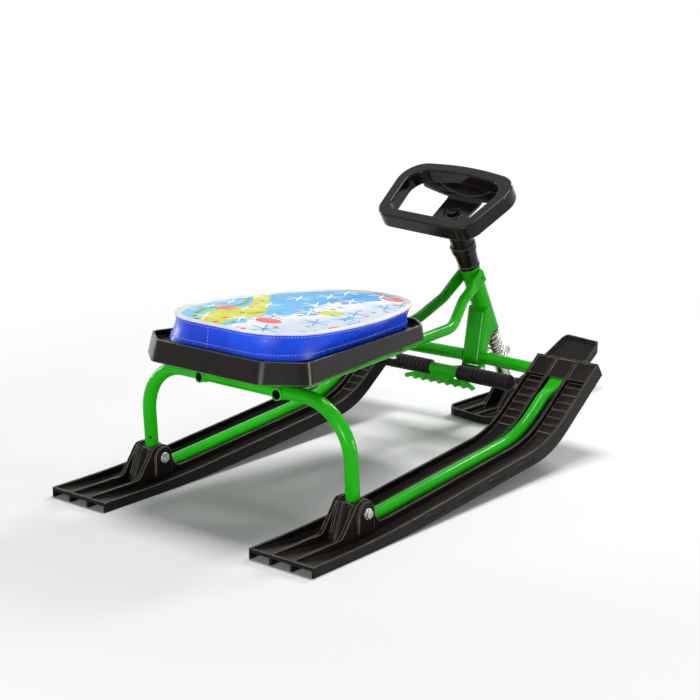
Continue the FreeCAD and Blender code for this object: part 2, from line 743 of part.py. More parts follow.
def make_runner_tube(name):
    """Tube lying in the ski's middle channel, its front end pressed flat."""
    side = SIDES[name]
    middle = side * size.ski_track / 2
    lift = size.runner_diameter / 2 - size.channel_depth + size.weld_gap
    line = offset_path(ski_rim(), lift)
    radii = [size.ski_kink_radius - lift, size.ski_bend_radius - lift]
    start_y = size.leg_foot + size.leg_diameter / 2 + size.cup_wall + 4
    share = (start_y - line[1].x) / (line[2].x - line[1].x)
    way = (line[2] - line[1]).normalize()
    kink_reach = size.ski_kink_radius * math.tan(math.atan2(way.y, way.x) / 2)
    start = line[1] + (line[2] - line[1]) * share
    first = line[1] + way * (kink_reach + 1)
    if first.x > start.x:
        start = V(start.x, start.y + 1.2, 0)
    nose_way = (line[3] - line[2]).normalize()
    back = size.cap_length * 0.4 + size.runner_tab + size.press_length
    stop = line[3] - nose_way * back
    points = [V(middle, p.x, p.y) for p in (start, line[2], stop)]
    pipe = tube(name + "_runner_pipe", points, [radii[1]], "runner_diameter")
    way3 = V(0, nose_way.x, nose_way.y)
    drop = lift + size.channel_depth - size.tab_thickness / 2 - 2 * size.weld_gap
    sink = V(0, nose_way.y, -nose_way.x) * drop
    end = pressed_end(name + "_runner_end", points[-1], way3, V(1, 0, 0), size.runner_diameter,
                      size.runner_tab, sink)
    return node(join(name + "_runner_tube", [pipe, end]), name + "_runner_tube")


def make_leg(name):
    """Leg tube from the ski bracket up and over to the rail."""
    side = SIDES[name]
    points = leg_points(side)
    pipe = tube(name + "_leg_pipe", points, [size.leg_bend_radius], "leg_diameter")
    tools = [rail_rod(name + "_leg_cope", side)]
    middle = side * size.ski_track / 2
    tools.append(rod(name + "_leg_hole", V(middle - 30, size.leg_foot, bolt_height()), V(1, 0, 0),
                     "sizes.bolt_diameter / 2 + sizes.slip_gap", "60"))
    share = (size.vent_height - points[0].z) / (points[1].z - points[0].z)
    vent = points[0] + (points[1] - points[0]) * share
    tools.append(rod(name + "_leg_vent", vent, V(-0.63 * side, -0.775, 0), "sizes.vent_diameter / 2",
                     "sizes.leg_diameter"))
    return node(cut(name + "_leg", pipe, tools), name + "_leg")


def rail_rod(name, side):
    """Space of a rail's straight rear run, for coping other tubes onto it."""
    rear, bend, turn, stop, way = rail_points(side)
    run = (bend - rear).normalize()
    return rod(name, rear - run * 20, run, "sizes.rail_diameter / 2 + sizes.weld_gap",
               "%f" % ((bend - rear).Length + 20))


def make_crossbar():
    """Crossbar between the rails under the seat."""
    half = size.rail_rear_half
    start = V(-half, size.leg_top, size.leg_top_height)
    skin = rod("crossbar_skin", start, V(1, 0, 0), "sizes.leg_diameter / 2", "2 * sizes.rail_rear_half")
    core = rod("crossbar_core", start, V(1, 0, 0), "sizes.leg_diameter / 2 - sizes.tube_wall",
               "2 * sizes.rail_rear_half")
    tools = [core] + [rail_rod("crossbar_cope_" + name, side) for name, side in SIDES.items()]
    return node(cut("seat_crossbar", skin, tools), "seat_crossbar")


def make_rail(name):
    """Seat rail, its upper end pressed flat on the head tube."""
    side = SIDES[name]
    rear, bend, turn, stop, way = rail_points(side)
    pipe = tube(name + "_rail_pipe", [rear, bend, turn, stop],
                [size.rail_bend_radius, size.rail_top_radius], "rail_diameter")
    across = V(0, -way.z, way.y).normalize()
    across = (across - way * across.dot(way)).normalize()
    end = pressed_end(name + "_rail_end", stop, way, across, size.rail_diameter, size.tab_length)
    whole = join(name + "_rail_whole", [pipe, end])
    tools = [head_space(name + "_rail_cope")]
    tools += [screw_hole("%s_rail_screw%d" % (name, i), side, i, 60) for i in range(2)]
    vent = stop + way * (size.press_length + size.tab_length * 0.72)
    tools.append(rod(name + "_rail_vent", vent - V(2 * size.tab_thickness, 0, 0), V(1, 0, 0),
                     "sizes.vent_diameter / 2", "4 * sizes.tab_thickness"))
    return node(cut(name + "_rail", whole, tools), name + "_rail")


def head_space(name):
    """Space of the head tube, for coping other pieces onto it."""
    axis = COLUMN.Rotation.multVec(V(0, 0, 1))
    return rod(name, COLUMN.multVec(V(0, 0, size.head_bottom - 6)), axis,
               "sizes.head_diameter / 2 + sizes.weld_gap", "sizes.head_top - sizes.head_bottom + 12")


def screw_spot(side, number):
    """Where a tray screw goes through its rail."""
    along = size.saddle_rear if number == 0 else size.saddle_front
    y = size.seat_middle + along
    rear, bend, turn, stop, way = rail_points(side)
    share = (y - rear.y) / (bend.y - rear.y)
    return rear + (bend - rear) * share


def screw_hole(name, side, number, reach):
    """Hole of a tray screw, straight up and down."""
    spot = screw_spot(side, number)
    return rod(name, spot - V(0, 0, reach), V(0, 0, 1), "sizes.screw_diameter / 2 + sizes.slip_gap",
               "%f" % (2 * reach))


def make_head_tube():
    """Head tube on the steering axis."""
    outer = size.head_diameter / 2
    profile = ring_profile(outer - size.head_wall, outer, size.head_bottom, size.head_top)
    return node(turned("head_tube", profile, COLUMN), "head_tube")


def make_post():
    """Box tube with rounded rear edges from the head tube down to the brake hinge."""
    top = COLUMN.multVec(V(0, 0, size.head_bottom + size.post_rise))
    low = COLUMN.multVec(V(0, 0, size.head_bottom + 6))
    hinge_y = size.hinge
    hinge_z = size.hinge_height
    rear_top = V(top.y - 18.5, top.z + 6, 0)
    rear_low = V(hinge_y - 6, hinge_z + 14, 0)
    lean = (rear_top - rear_low).normalize()
    square = V(lean.y, -lean.x, 0)
    side_shape = round_loop(
        [
            rear_low - square * 6,
            V(hinge_y - 12, hinge_z - 8, 0),
            V(hinge_y + 11, hinge_z - 8, 0),
            V(hinge_y + 22, hinge_z + 42, 0),
            V(low.y - 18, low.z - 14, 0),
            V(low.y - 8, low.z - 6, 0),
            V(low.y, low.z - 2, 0),
            V(top.y, top.z, 0),
            rear_top + square * size.post_crook,
            rear_top - lean * 2.4 * size.post_crook - square * 3,
        ],
        [3, 7, 7, 12, 5, 5, 3, 2, 3, 1],
    )
    profile = side_prism("post_profile", side_shape, 0, "2 * sizes.post_half + 4")
    below = rear_low - lean * 60
    turn = Rotation(V(1, 0, 0), V(0, lean.y, -lean.x), V(0, lean.x, lean.y))
    seat = Placement(V(0, below.x, below.y), turn)

    def box(name, inset, length):
        half = size.post_half - inset
        corners = [V(-half, inset, 0), V(half, inset, 0), V(half, 120, 0), V(-half, 120, 0)]
        bend = size.post_round - inset
        return prism(name, round_loop(corners, [bend, bend, 1, 1]), seat, length, False)

    span = (rear_top - below).Length
    outside = common("post_outside", box("post_box", 0, "%f" % (span + 20)), profile)
    inside = box("post_inside", size.post_wall, "%f" % (span - 4 * size.post_crook))
    foot_shape = polygon(
        [
            V(hinge_y - 40, hinge_z - 30, 0),
            V(hinge_y + 40, hinge_z - 30, 0),
            V(hinge_y + 40, hinge_z + size.foot_opening, 0),
            V(hinge_y - 40, hinge_z + size.foot_opening, 0),
        ]
    )
    foot = side_prism("post_foot", foot_shape, 0, "2 * (sizes.post_half - sizes.post_wall)")
    pin = rod("post_pin_hole", V(-40, hinge_y, hinge_z), V(1, 0, 0),
              "sizes.pin_diameter / 2 + sizes.weld_gap", "80")
    tools = [inside, foot, pin, head_space("post_cope")]
    return node(cut("down_post", outside, tools), "down_post")


def make_cross_tube(name):
    """Cross tube from the post's side into the ski nose."""
    side = SIDES[name]
    post, end, way = cross_points(side)
    length = "%f" % (end - post).Length
    skin = rod(name + "_cross_skin", post, way, "sizes.cross_diameter / 2", length)
    core = rod(name + "_cross_core", post, way, "sizes.cross_diameter / 2 - sizes.tube_wall", length)
    block = doc.addObject("Part::Box", name + "_cross_trim")
    block.setExpression("Length", "2 * (sizes.post_half + sizes.weld_gap)")
    block.setExpression("Width", "4 * sizes.cross_diameter")
    block.setExpression("Height", "4 * sizes.cross_diameter")
    reach = size.post_half + size.weld_gap
    block.Placement = Placement(post - V(post.x + reach, 2 * size.cross_diameter,
                                         2 * size.cross_diameter), Rotation())
    return node(cut(name + "_cross_tube", skin, [core, block]), name + "_cross_tube")


def make_ski_fasteners():
    """Bolts and nuts of the leg brackets."""
    bolts = []
    nuts = []
    reach = size.rib_offset + size.rib_wall / 2 + size.boss_out + size.weld_gap
    for name, side in SIDES.items():
        middle = side * size.ski_track / 2
        spot = V(middle, size.leg_foot, bolt_height())
        across = V(1, 0, 0)
        tail = reach + size.nut_height + 2
        shank = rod(name + "_shank", spot - across * tail, across, "sizes.bolt_diameter / 2",
                    "%f" % (tail + reach + 1))
        head = hexagon(name + "_head", spot + across * reach, across, "sizes.bolt_head * 0.4",
                       "sizes.bolt_head_height")
        flange = rod(name + "_flange", spot + across * reach, across, "sizes.bolt_head / 2",
                     "sizes.flange_height")
        bolts.append(join(name + "_bolt", [shank, head, flange]))
        nut = hexagon(name + "_nut_block", spot - across * (reach + size.nut_height), across,
                      "sizes.bolt_head / 2",
                      "sizes.nut_height")
        bore = rod(name + "_nut_bore", spot - across * 80, across,
                   "sizes.bolt_diameter / 2 + sizes.weld_gap", "80")
        nuts.append(cut(name + "_nut", nut, [bore]))
    group("ski_bolts", bolts)
    group("ski_nuts", nuts)


def group(label, items):
    """Several like pieces under one name."""
    bundle = doc.addObject("Part::Compound", label)
    bundle.Links = items
    return node(bundle, label)


def loop_sketch(name, points, radii, height):
    """Seat outline at a height above the tray rim plane."""
    placement = SEAT.multiply(Placement(V(0, 0, height), Rotation()))
    return sketch(name, round_loop(points, radii), placement)


def tray_points():
    """Tray rim outline, anticlockwise."""
    right = [
        V(size.tray_rear_half, size.tray_rear, 0),
        V(size.tray_corner_half, size.tray_corner, 0),
        V(size.tray_front_corner_half, size.tray_front_corner, 0),
        V(size.tray_front_half, size.tray_front, 0),
    ]
    left = [V(-p.x, p.y, 0) for p in reversed(right)]
    return right + left


def flared(name, points, radii, inset, top, bottom):
    """Ruled block between two outlines, wider below."""
    depth = size.tray_depth_rear
    upper = inset_loop(points, inset + size.tray_flare * top / depth)
    lower = inset_loop(points, inset + size.tray_flare * bottom / depth)
    trims = [max(radius - inset, 2) for radius in radii]
    block = doc.addObject("Part::Loft", name)
    block.Sections = [
        loop_sketch(name + "_upper", upper, trims, top),
        loop_sketch(name + "_lower", lower, trims, bottom),
    ]
    block.Solid = True
    block.Ruled = True
    return block


def make_tray():
    """Moulded seat tray: flared wall, seat floor and saddles on the rails."""
    points = tray_points()
    radii = [size.tray_round] * len(points)
    depth = size.tray_depth_rear
    shell = size.tray_shell
    recess = size.tray_recess
    outside = flared("tray_outside", points, radii, 0, 0, -depth)
    well = flared("tray_well", points, radii, shell, 2, -recess)
    hollow = flared("tray_hollow", points, radii, shell, -recess - shell, -depth - 2)
    placement = SEAT.multiply(Placement(V(), TO_SIDE))
    rear = size.tray_rear - 30
    front = size.tray_front + 30
    slant_shape = polygon(
        [
            V(rear, -depth, 0),
            V(rear, -depth - 60, 0),
            V(front, -depth - 60, 0),
            V(front, -size.tray_depth_front, 0),
        ]
    )
    slant = prism("tray_slant", slant_shape, placement, "3 * sizes.tray_corner_half")
    shape = cut("tray_shape", outside, [well, hollow, slant])
    saddles = []
    for number, along in enumerate((size.saddle_rear, size.saddle_front)):
        half = size.saddle_length / 2
        spot = screw_spot(1, number)
        local = SEAT.inverse().multVec(spot)
        low = local.z
        beam_shape = polygon(
            [
                V(along - half, low, 0),
                V(along + half, low, 0),
                V(along + half, -recess - shell / 2, 0),
                V(along - half, -recess - shell / 2, 0),
            ]
        )
        for name, side in SIDES.items():
            over_rail = SEAT.multiply(Placement(V(side * local.x, 0, 0), TO_SIDE))
            saddles.append(prism("tray_saddle_%s%d" % (name, number), beam_shape, over_rail,
                                 "sizes.rail_diameter + 2 * sizes.saddle_side"))
    whole = join("tray_whole", [shape] + saddles)
    tools = []
    for name, side in SIDES.items():
        tools.append(rail_rod("tray_rail_" + name, side))
        tools += [screw_bore("tray_screw_%s%d" % (name, i), side, i) for i in range(2)]
    return node(cut("seat_tray", whole, tools), "seat_tray")


def screw_bore(name, side, number):
    """Screw hole in a tray saddle."""
    spot = screw_spot(side, number)
    return rod(name, spot, V(0, 0, 1), "sizes.screw_diameter / 2 + sizes.weld_gap",
               "sizes.rail_diameter / 2 + %f" % (screw_bite() + 1))


def screw_bite():
    """How far a tray screw goes into its saddle."""
    room = []
    for number in range(2):
        local = SEAT.inverse().multVec(screw_spot(1, number))
        room.append(-size.tray_recess - size.tray_shell - local.z - size.rail_diameter / 2)
    return max(min(room) - 1, 1.5)


def make_tray_screws():
    """Four screws through the rails into the tray saddles."""
    screws = []
    for name, side in SIDES.items():
        for number in range(2):
            spot = screw_spot(side, number)
            low = size.rail_diameter / 2 + 0.6
            start = spot - V(0, 0, low)
            shank = rod("%s_screw%d_shank" % (name, number), start, V(0, 0, 1), "sizes.screw_diameter / 2",
                        "%f" % (low + size.rail_diameter / 2 + screw_bite()))
            head = rod("%s_screw%d_head" % (name, number), start - V(0, 0, 3), V(0, 0, 1),
                       "sizes.screw_head / 2", "3")
            screws.append(join("%s_screw%d" % (name, number), [shank, head]))
    group("tray_screws", screws)


def cushion_points():
    """Cushion outline at the piping, anticlockwise."""
    right = [
        V(size.cushion_rear_half, size.cushion_rear, 0),
        V(size.cushion_half, size.cushion_wide, 0),
        V(size.cushion_front_half, size.cushion_front, 0),
    ]
    left = [V(-p.x, p.y, 0) for p in reversed(right)]
    return right + left


def cushion_foot():
    """Cushion outline at its foot, inside the tray wall."""
    gap = size.tray_shell + size.soft_gap + 2
    right = [
        V(size.tray_rear_half + 20, size.tray_rear + gap, 0),
        V(size.tray_corner_half - 2 * gap, size.tray_corner + 24, 0),
        V(size.tray_front_half + 26, size.tray_front - gap, 0),
    ]
    left = [V(-p.x, p.y, 0) for p in reversed(right)]
    return right + left


def make_cushion():
    """Padded cushion: sides drawn in between foot and piping, and a crowned top."""
    seam = size.cushion_seam
    crown = size.cushion_crown
    low = -size.tray_recess + size.soft_gap
    rise = seam - low
    top = cushion_points()
    foot = cushion_foot()
    waist = [(p + q) * 0.5 for p, q in zip(top, foot)]
    top_rounds = [size.cushion_rear_round, size.cushion_wide_round, size.cushion_front_round]
    foot_rounds = [48, 70, 64]
    waist_rounds = [(p + q) / 2 for p, q in zip(top_rounds, foot_rounds)]

    def ring(points, rounds, inset, height):
        outline = inset_loop(points, inset)
        trims = [max(radius - inset, 6) for radius in rounds + list(reversed(rounds))]
        wire = Part.Wire([piece.toShape() for piece in round_loop(outline, trims)])
        wire.translate(V(0, 0, height))
        return wire

    draw = size.cushion_draw
    sides = Part.makeLoft(
        [
            ring(foot, foot_rounds, 0, low),
            ring(foot, foot_rounds, draw * 0.4, low + rise * 0.3),
            ring(waist, waist_rounds, draw, low + rise * 0.6),
            ring(top, top_rounds, draw * 0.3, low + rise * 0.88),
            ring(top, top_rounds, 0, seam),
        ],
        True,
        False,
    )
    pillow = Part.makeLoft(
        [
            ring(top, top_rounds, 0, seam),
            ring(top, top_rounds, 10, seam + crown * 0.55),
            ring(top, top_rounds, 28, seam + crown * 0.88),
            ring(top, top_rounds, 46, seam + crown),
        ],
        True,
        False,
    )
    cushion = doc.addObject("Part::Feature", "seat_cushion")
    cushion.Shape = sides.fuse(pillow).removeSplitter()
    cushion.Placement = SEAT
    return node(cushion, "seat_cushion")


def make_column():
    """Bushes, shaft, sleeve, lower stem, spring and round tab on the steering axis."""
    bore = size.head_diameter / 2 - size.head_wall
    run = size.shaft_diameter / 2 + size.run_gap
    flange_low = size.head_bottom - size.bush_flange
    upper = ring_profile(run, bore, size.head_top - size.bush_length, size.head_top)
    node(turned("upper_bush", upper, COLUMN), "upper_bush")
    lower = [
        (run, flange_low),
        (size.head_diameter / 2, flange_low),
        (size.head_diameter / 2, size.head_bottom),
        (bore, size.head_bottom),
        (bore, size.head_bottom + size.bush_length),
        (run, size.head_bottom + size.bush_length),
    ]
    node(turned("lower_bush", lower, COLUMN), "lower_bush")

    shaft_r = size.shaft_diameter / 2
    shaft = [
        (size.shaft_bore / 2, size.shaft_bottom),
        (shaft_r, size.shaft_bottom),
        (shaft_r, shaft_top()),
        (0, shaft_top()),
        (0, shaft_top() - 12),
        (size.shaft_bore / 2, shaft_top() - 12),
    ]
    column_shaft = turned("steering_shaft_bar", shaft, STEER)
    hole = rod("shaft_bolt_hole", STEER.multVec(V(0, 0, shaft_top() - 11)),
               STEER.Rotation.multVec(V(0, 0, 1)),
               "sizes.bolt_diameter / 2 + sizes.weld_gap", "40")
    node(cut("steering_shaft", column_shaft, [hole]), "steering_shaft")

    low = size.head_top + size.side_gap
    ring_r = size.sleeve_top_diameter / 2
    foot_r = size.sleeve_diameter / 2
    neck_r = size.neck_diameter / 2 + size.weld_gap
    top = sleeve_end()
    ring = size.sleeve_ring
    sleeve = [
        (shaft_r + size.weld_gap, low),
        (foot_r + 1, low),
        (foot_r + 1, low + 5),
        (foot_r, low + 6),
        (ring_r - 2.2, top - ring),
        (ring_r - 0.6, top - ring + 1),
        (ring_r, top - 1.5),
        (ring_r - 1.2, top),
        (neck_r, top),
        (neck_r, top - 9),
        (shaft_r + size.weld_gap, top - 9),
    ]
    node(turned("column_sleeve", sleeve, STEER), "column_sleeve")

    rod_r = size.shaft_bore / 2 - size.run_gap
    stem_r = size.stem_diameter / 2
    shoulder = size.stem_shoulder
    stem_profile = [
        (0, size.pivot + 4),
        (stem_r - 3, size.pivot + 4),
        (stem_r, size.pivot + 14),
        (stem_r, shoulder),
        (rod_r, shoulder),
        (rod_r, size.rod_top - 2),
        (rod_r - 2, size.rod_top),
        (0, size.rod_top),
    ]
    stem_bar = turned("stem_bar", stem_profile, STEER)
    across = STEER.Rotation.multVec(V(1, 0, 0))
    pivot = STEER.multVec(V(0, 0, size.pivot))
    knuckle = rod("stem_knuckle", pivot - across * stem_r, across, "sizes.stem_diameter / 2",
                  "sizes.stem_diameter")
    hole = rod("stem_hole", pivot - across * 60, across, "sizes.bolt_diameter / 2 + sizes.run_gap", "120")
    node(cut("lower_stem", join("stem_whole", [stem_bar, knuckle]), [hole]), "lower_stem")

    seat_r = size.seat_diameter / 2
    seat_top = shoulder + size.seat_thickness
    seat = [
        (rod_r + size.weld_gap, shoulder),
        (seat_r - 1.5, shoulder),
        (seat_r, shoulder + 1.2),
        (seat_r, seat_top),
        (rod_r + size.weld_gap, seat_top),
    ]
    node(turned("spring_seat", seat, STEER), "spring_seat")
    make_spring(seat_top, flange_low)

    eye_r = size.eye_diameter / 2
    eye_middle = shoulder + size.seat_thickness / 2
    forward = size.eye_reach
    lug = doc.addObject("Part::Box", "eye_lug")
    lug.setExpression("Length", "sizes.eye_thickness")
    lug.setExpression("Width", "sizes.eye_reach - sizes.seat_diameter / 2 + 1")
    lug.setExpression("Height", "sizes.seat_thickness")
    thick = size.eye_thickness
    lug.Placement = STEER.multiply(Placement(V(-thick / 2, seat_r - 1, shoulder), Rotation()))
    disc = rod("eye_disc", STEER.multVec(V(-thick / 2, forward, eye_middle)), across,
               "sizes.eye_diameter / 2",
               "sizes.eye_thickness")
    eye = join("eye_blank", [lug, disc])
    bore_tool = rod("eye_bore", STEER.multVec(V(-20, forward, eye_middle)), across, "sizes.eye_hole / 2",
                    "40")
    axis = STEER.Rotation.multVec(V(0, 0, 1))
    seat_tool = rod("eye_seat", STEER.multVec(V(0, 0, eye_middle - 20)), axis,
                    "sizes.seat_diameter / 2 + sizes.weld_gap", "40")
    node(cut("stem_tab", eye, [bore_tool, seat_tool]), "stem_tab")


def sleeve_end():
    """Upper end of the sleeve along the steering axis."""
    return size.head_top + size.sleeve_top


def wheel_middle():
    """Wheel's place along the steering axis."""
    return sleeve_end() + size.wheel_height


def shaft_top():
    """Upper end of the shaft, just under the hub plate."""
    return wheel_middle() - size.hub_depth - size.rim_shell - 1


def curl_arcs(spots, ways):
    """Pairs of arcs through the spots, each leaving along its given way."""
    arcs = []
    for index in range(len(spots) - 1):
        start = spots[index]
        end = spots[index + 1]
        way_in = ways[index]
        way_out = ways[index + 1]
        chord = end - start
        both = way_in + way_out
        spread = 2 * (1 - way_in.dot(way_out))
        reach = (-chord.dot(both) + math.sqrt(chord.dot(both) ** 2 + spread * chord.dot(chord))) / spread
        first = start + way_in * reach
        last = end - way_out * reach
        joint = (first + last) * 0.5
        for a, peak, b in ((start, first, joint), (joint, last, end)):
            middle = (a + b) * 0.5
            rise = peak - middle
            half = (b - a).Length / 2
            bow = half * math.tan(math.atan2(rise.Length, half) / 2)
            arcs.append(Part.Arc(a, middle + rise * (bow / rise.Length), b))
    return arcs


def make_spring(low, high):
    """Suspension spring as one unbroken tube between its seats."""
    wire = size.spring_wire
    radius = size.spring_diameter / 2
    turns = size.spring_turns
    start = low + wire / 2 + size.side_gap
    length = high - low - wire - 2 * size.side_gap
    quarters = int(round(turns * 4))
    spots = []
    ways = []
    for step in range(quarters + 1):
        angle = step * math.pi / 2
        spots.append(V(radius * math.cos(angle), radius * math.sin(angle), start + length * step / quarters))
        climb = length / (turns * 2 * math.pi * radius)
        ways.append(V(-math.sin(angle), math.cos(angle), climb).normalize())
    pieces = [Part.LineSegment(spots[0] - ways[0] * wire, spots[0])]
    pieces += curl_arcs(spots, ways)
    pieces.append(Part.LineSegment(spots[-1], spots[-1] + ways[-1] * wire))
    spine = Part.Wire([piece.toShape() for piece in pieces])
    begin = spots[0] - ways[0] * wire
    ring = Part.Wire([Part.makeCircle(wire / 2, begin, ways[0])])
    spring = doc.addObject("Part::Feature", "spring")
    spring.Shape = spine.makePipeShell([ring], True, False)
    spring.Placement = STEER
    node(spring, "spring")
    line = [spine.Edges[i].valueAt(spine.Edges[i].FirstParameter) for i in range(len(spine.Edges))]
    least = min(
        (line[a] - line[b]).Length - wire
        for a in range(len(line))
        for b in range(a)
        if a - b > 5
    )
    print("spring least gap %.2f mm" % least)
    print("spring volume %.0f against %.0f" % (spring.Shape.Volume, spine.Length * math.pi * wire * wire / 4))


def wheel_points():
    """Wheel outline in its own plane, anticlockwise."""
    rear = size.wheel_rear
    front = size.wheel_front
    return [
        V(size.wheel_rear_half, rear, 0),
        V(size.wheel_front_half, front, 0),
        V(0, front + size.wheel_bow, 0),
        V(-size.wheel_front_half, front, 0),
        V(-size.wheel_rear_half, rear, 0),
    ]


def make_wheel():
    """Moulded wheel: hollow rim, dished panel down to the hub plate, neck on the shaft."""
    plane = STEER.multiply(Placement(V(0, 0, wheel_middle()), Rotation(V(1, 0, 0), size.wheel_tilt)))
    points = wheel_points()
    radii = [size.wheel_rear_round, size.wheel_front_round, size.wheel_bow_radius]
    radii += [size.wheel_front_round, size.wheel_rear_round]

    def block(name, inset, top, depth):
        outline = inset_loop(points, inset)
        trims = [max(radius - inset * 0.6, 6) for radius in radii]
        seat = plane.multiply(Placement(V(0, 0, top), Rotation(V(0, 1, 0), 180)))
        mirrored = [V(-p.x, p.y, 0) for p in reversed(outline)]
        return prism(name, round_loop(mirrored, list(reversed(trims))), seat, depth, False)

    rim_out = block("wheel_rim_out", 0, 0, "sizes.rim_depth")
    rim_in = block("wheel_rim_in", size.rim_width, 5, "sizes.rim_depth + 30")
    ring = cut("wheel_ring", rim_out, [rim_in])
    edges = [
        (i + 1, size.rim_edge, size.rim_edge)
        for i, edge in enumerate(edge_list(ring))
        if on_top(edge, plane)
    ]
    soft = doc.addObject("Part::Fillet", "wheel_ring_soft")
    soft.Base = ring
    soft.Edges = edges
    under_out = block("wheel_under_out", size.rim_shell, -size.rim_shell - 1.5, "sizes.rim_depth")
    under_in = block("wheel_under_in", size.rim_width - size.rim_shell, 0, "sizes.rim_depth + 30")
    groove = cut("wheel_groove", under_out, [under_in])
    rim = cut("wheel_rim", soft, [groove])

    shell = size.rim_shell
    depth = size.hub_depth
    front_y = size.wheel_front + size.wheel_bow - size.rim_width + 1
    rear_y = size.wheel_rear + size.rim_width - 1
    upper = [
        V(rear_y, -6, 0),
        V(rear_y + 8, -depth, 0),
        V(size.hub_front, -depth, 0),
        V(front_y, -8, 0),
        V(front_y + shell, -5, 0),
    ]
    lower = offset_path(upper, -shell)
    dish_shape = band(lower, [4 + shell, 12 + shell, 1], upper, [4, 12, 1])
    side_plane = plane.multiply(Placement(V(), TO_SIDE))
    dish = prism("wheel_dish", dish_shape, side_plane, "2 * sizes.wheel_front_half")
    inner = inset_loop(points, size.rim_width - shell / 2)
    middle = inner[2]
    edge_y = middle.y + (inner[1].y - middle.y) * size.panel_half / inner[1].x
    right = [
        V(size.hub_rear_half, rear_y - 5, 0),
        V(size.hub_half, size.hub_front, 0),
        V(size.panel_half, edge_y, 0),
    ]
    fan_shape = polygon(right + [middle] + [V(-p.x, p.y, 0) for p in reversed(right)])
    fan = prism("wheel_fan", fan_shape, plane, "6 * sizes.hub_depth")
    sheet_in = common("wheel_sheet", dish, fan)
    foot = V(0, size.hub_front, -depth)
    head = V(0, front_y, -8)
    climb = (head - foot).normalize()
    inward = V(0, -climb.z, climb.y)
    matrix = FreeCAD.Matrix(1, climb.x, inward.x, foot.x, 0, climb.y, inward.y, foot.y,
                            0, climb.z, inward.z, foot.z, 0, 0, 0, 1)
    lens_plane = plane.multiply(Placement(matrix))
    long = (head - foot).Length
    left_end = V(-size.panel_half * 0.6, long * 0.55, 0)
    right_end = V(size.panel_half * 0.6, long * 0.55, 0)
    lens = [
        Part.Arc(left_end, V(0, long * 0.88, 0), right_end),
        Part.Arc(right_end, V(0, long * 0.16, 0), left_end),
    ]
    hollow = prism("wheel_lens", lens, lens_plane, "2 * sizes.panel_hollow")
    panel = cut("wheel_panel", sheet_in, [hollow])

    hub_r = size.neck_diameter / 2
    axis = STEER.Rotation.multVec(V(0, 0, 1))
    neck_low = sleeve_end() - 9 + size.weld_gap
    neck = rod("wheel_neck", STEER.multVec(V(0, 0, neck_low)), axis, "sizes.neck_diameter / 2",
               "%f" % (wheel_middle() - depth - neck_low))
    whole = join("wheel_whole", [rim, panel, neck])

    tools = []
    tools.append(rod("wheel_bore", STEER.multVec(V(0, 0, neck_low - 30)), axis,
                     "sizes.shaft_diameter / 2 + sizes.weld_gap",
                     "%f" % (shaft_top() + size.weld_gap - neck_low + 30)))
    tools.append(rod("wheel_bolt_hole", STEER.multVec(V(0, 0, shaft_top() - 5)), axis,
                     "sizes.bolt_diameter / 2 + sizes.slip_gap", "60"))
    hub_face = wheel_middle() - depth
    tools.append(rod("wheel_recess", STEER.multVec(V(0, 0, hub_face - 1.4)), axis, "sizes.hub_recess / 2",
                     "12"))
    node(cut("steering_wheel", whole, tools), "steering_wheel")

    seat = hub_face - 1.4 + size.weld_gap
    head = hexagon("wheel_bolt_head", STEER.multVec(V(0, 0, seat)), axis, "sizes.bolt_head / 2",
                   "sizes.bolt_head_height")
    shank = rod("wheel_bolt_shank", STEER.multVec(V(0, 0, shaft_top() - 10)), axis, "sizes.bolt_diameter / 2",
                "%f" % (seat - shaft_top() + 11))
    node(join("wheel_bolt", [head, shank]), "wheel_bolt")


def edge_list(item):
    """Edges of an object after it has been worked out."""
    doc.recompute()
    return item.Shape.Edges


def on_top(edge, plane):
    """True for an edge that lies in the upper plane of the wheel."""
    back = plane.inverse()
    ends = [back.multVec(v.Point).z for v in edge.Vertexes]
    return max(abs(z) for z in ends) < 0.01


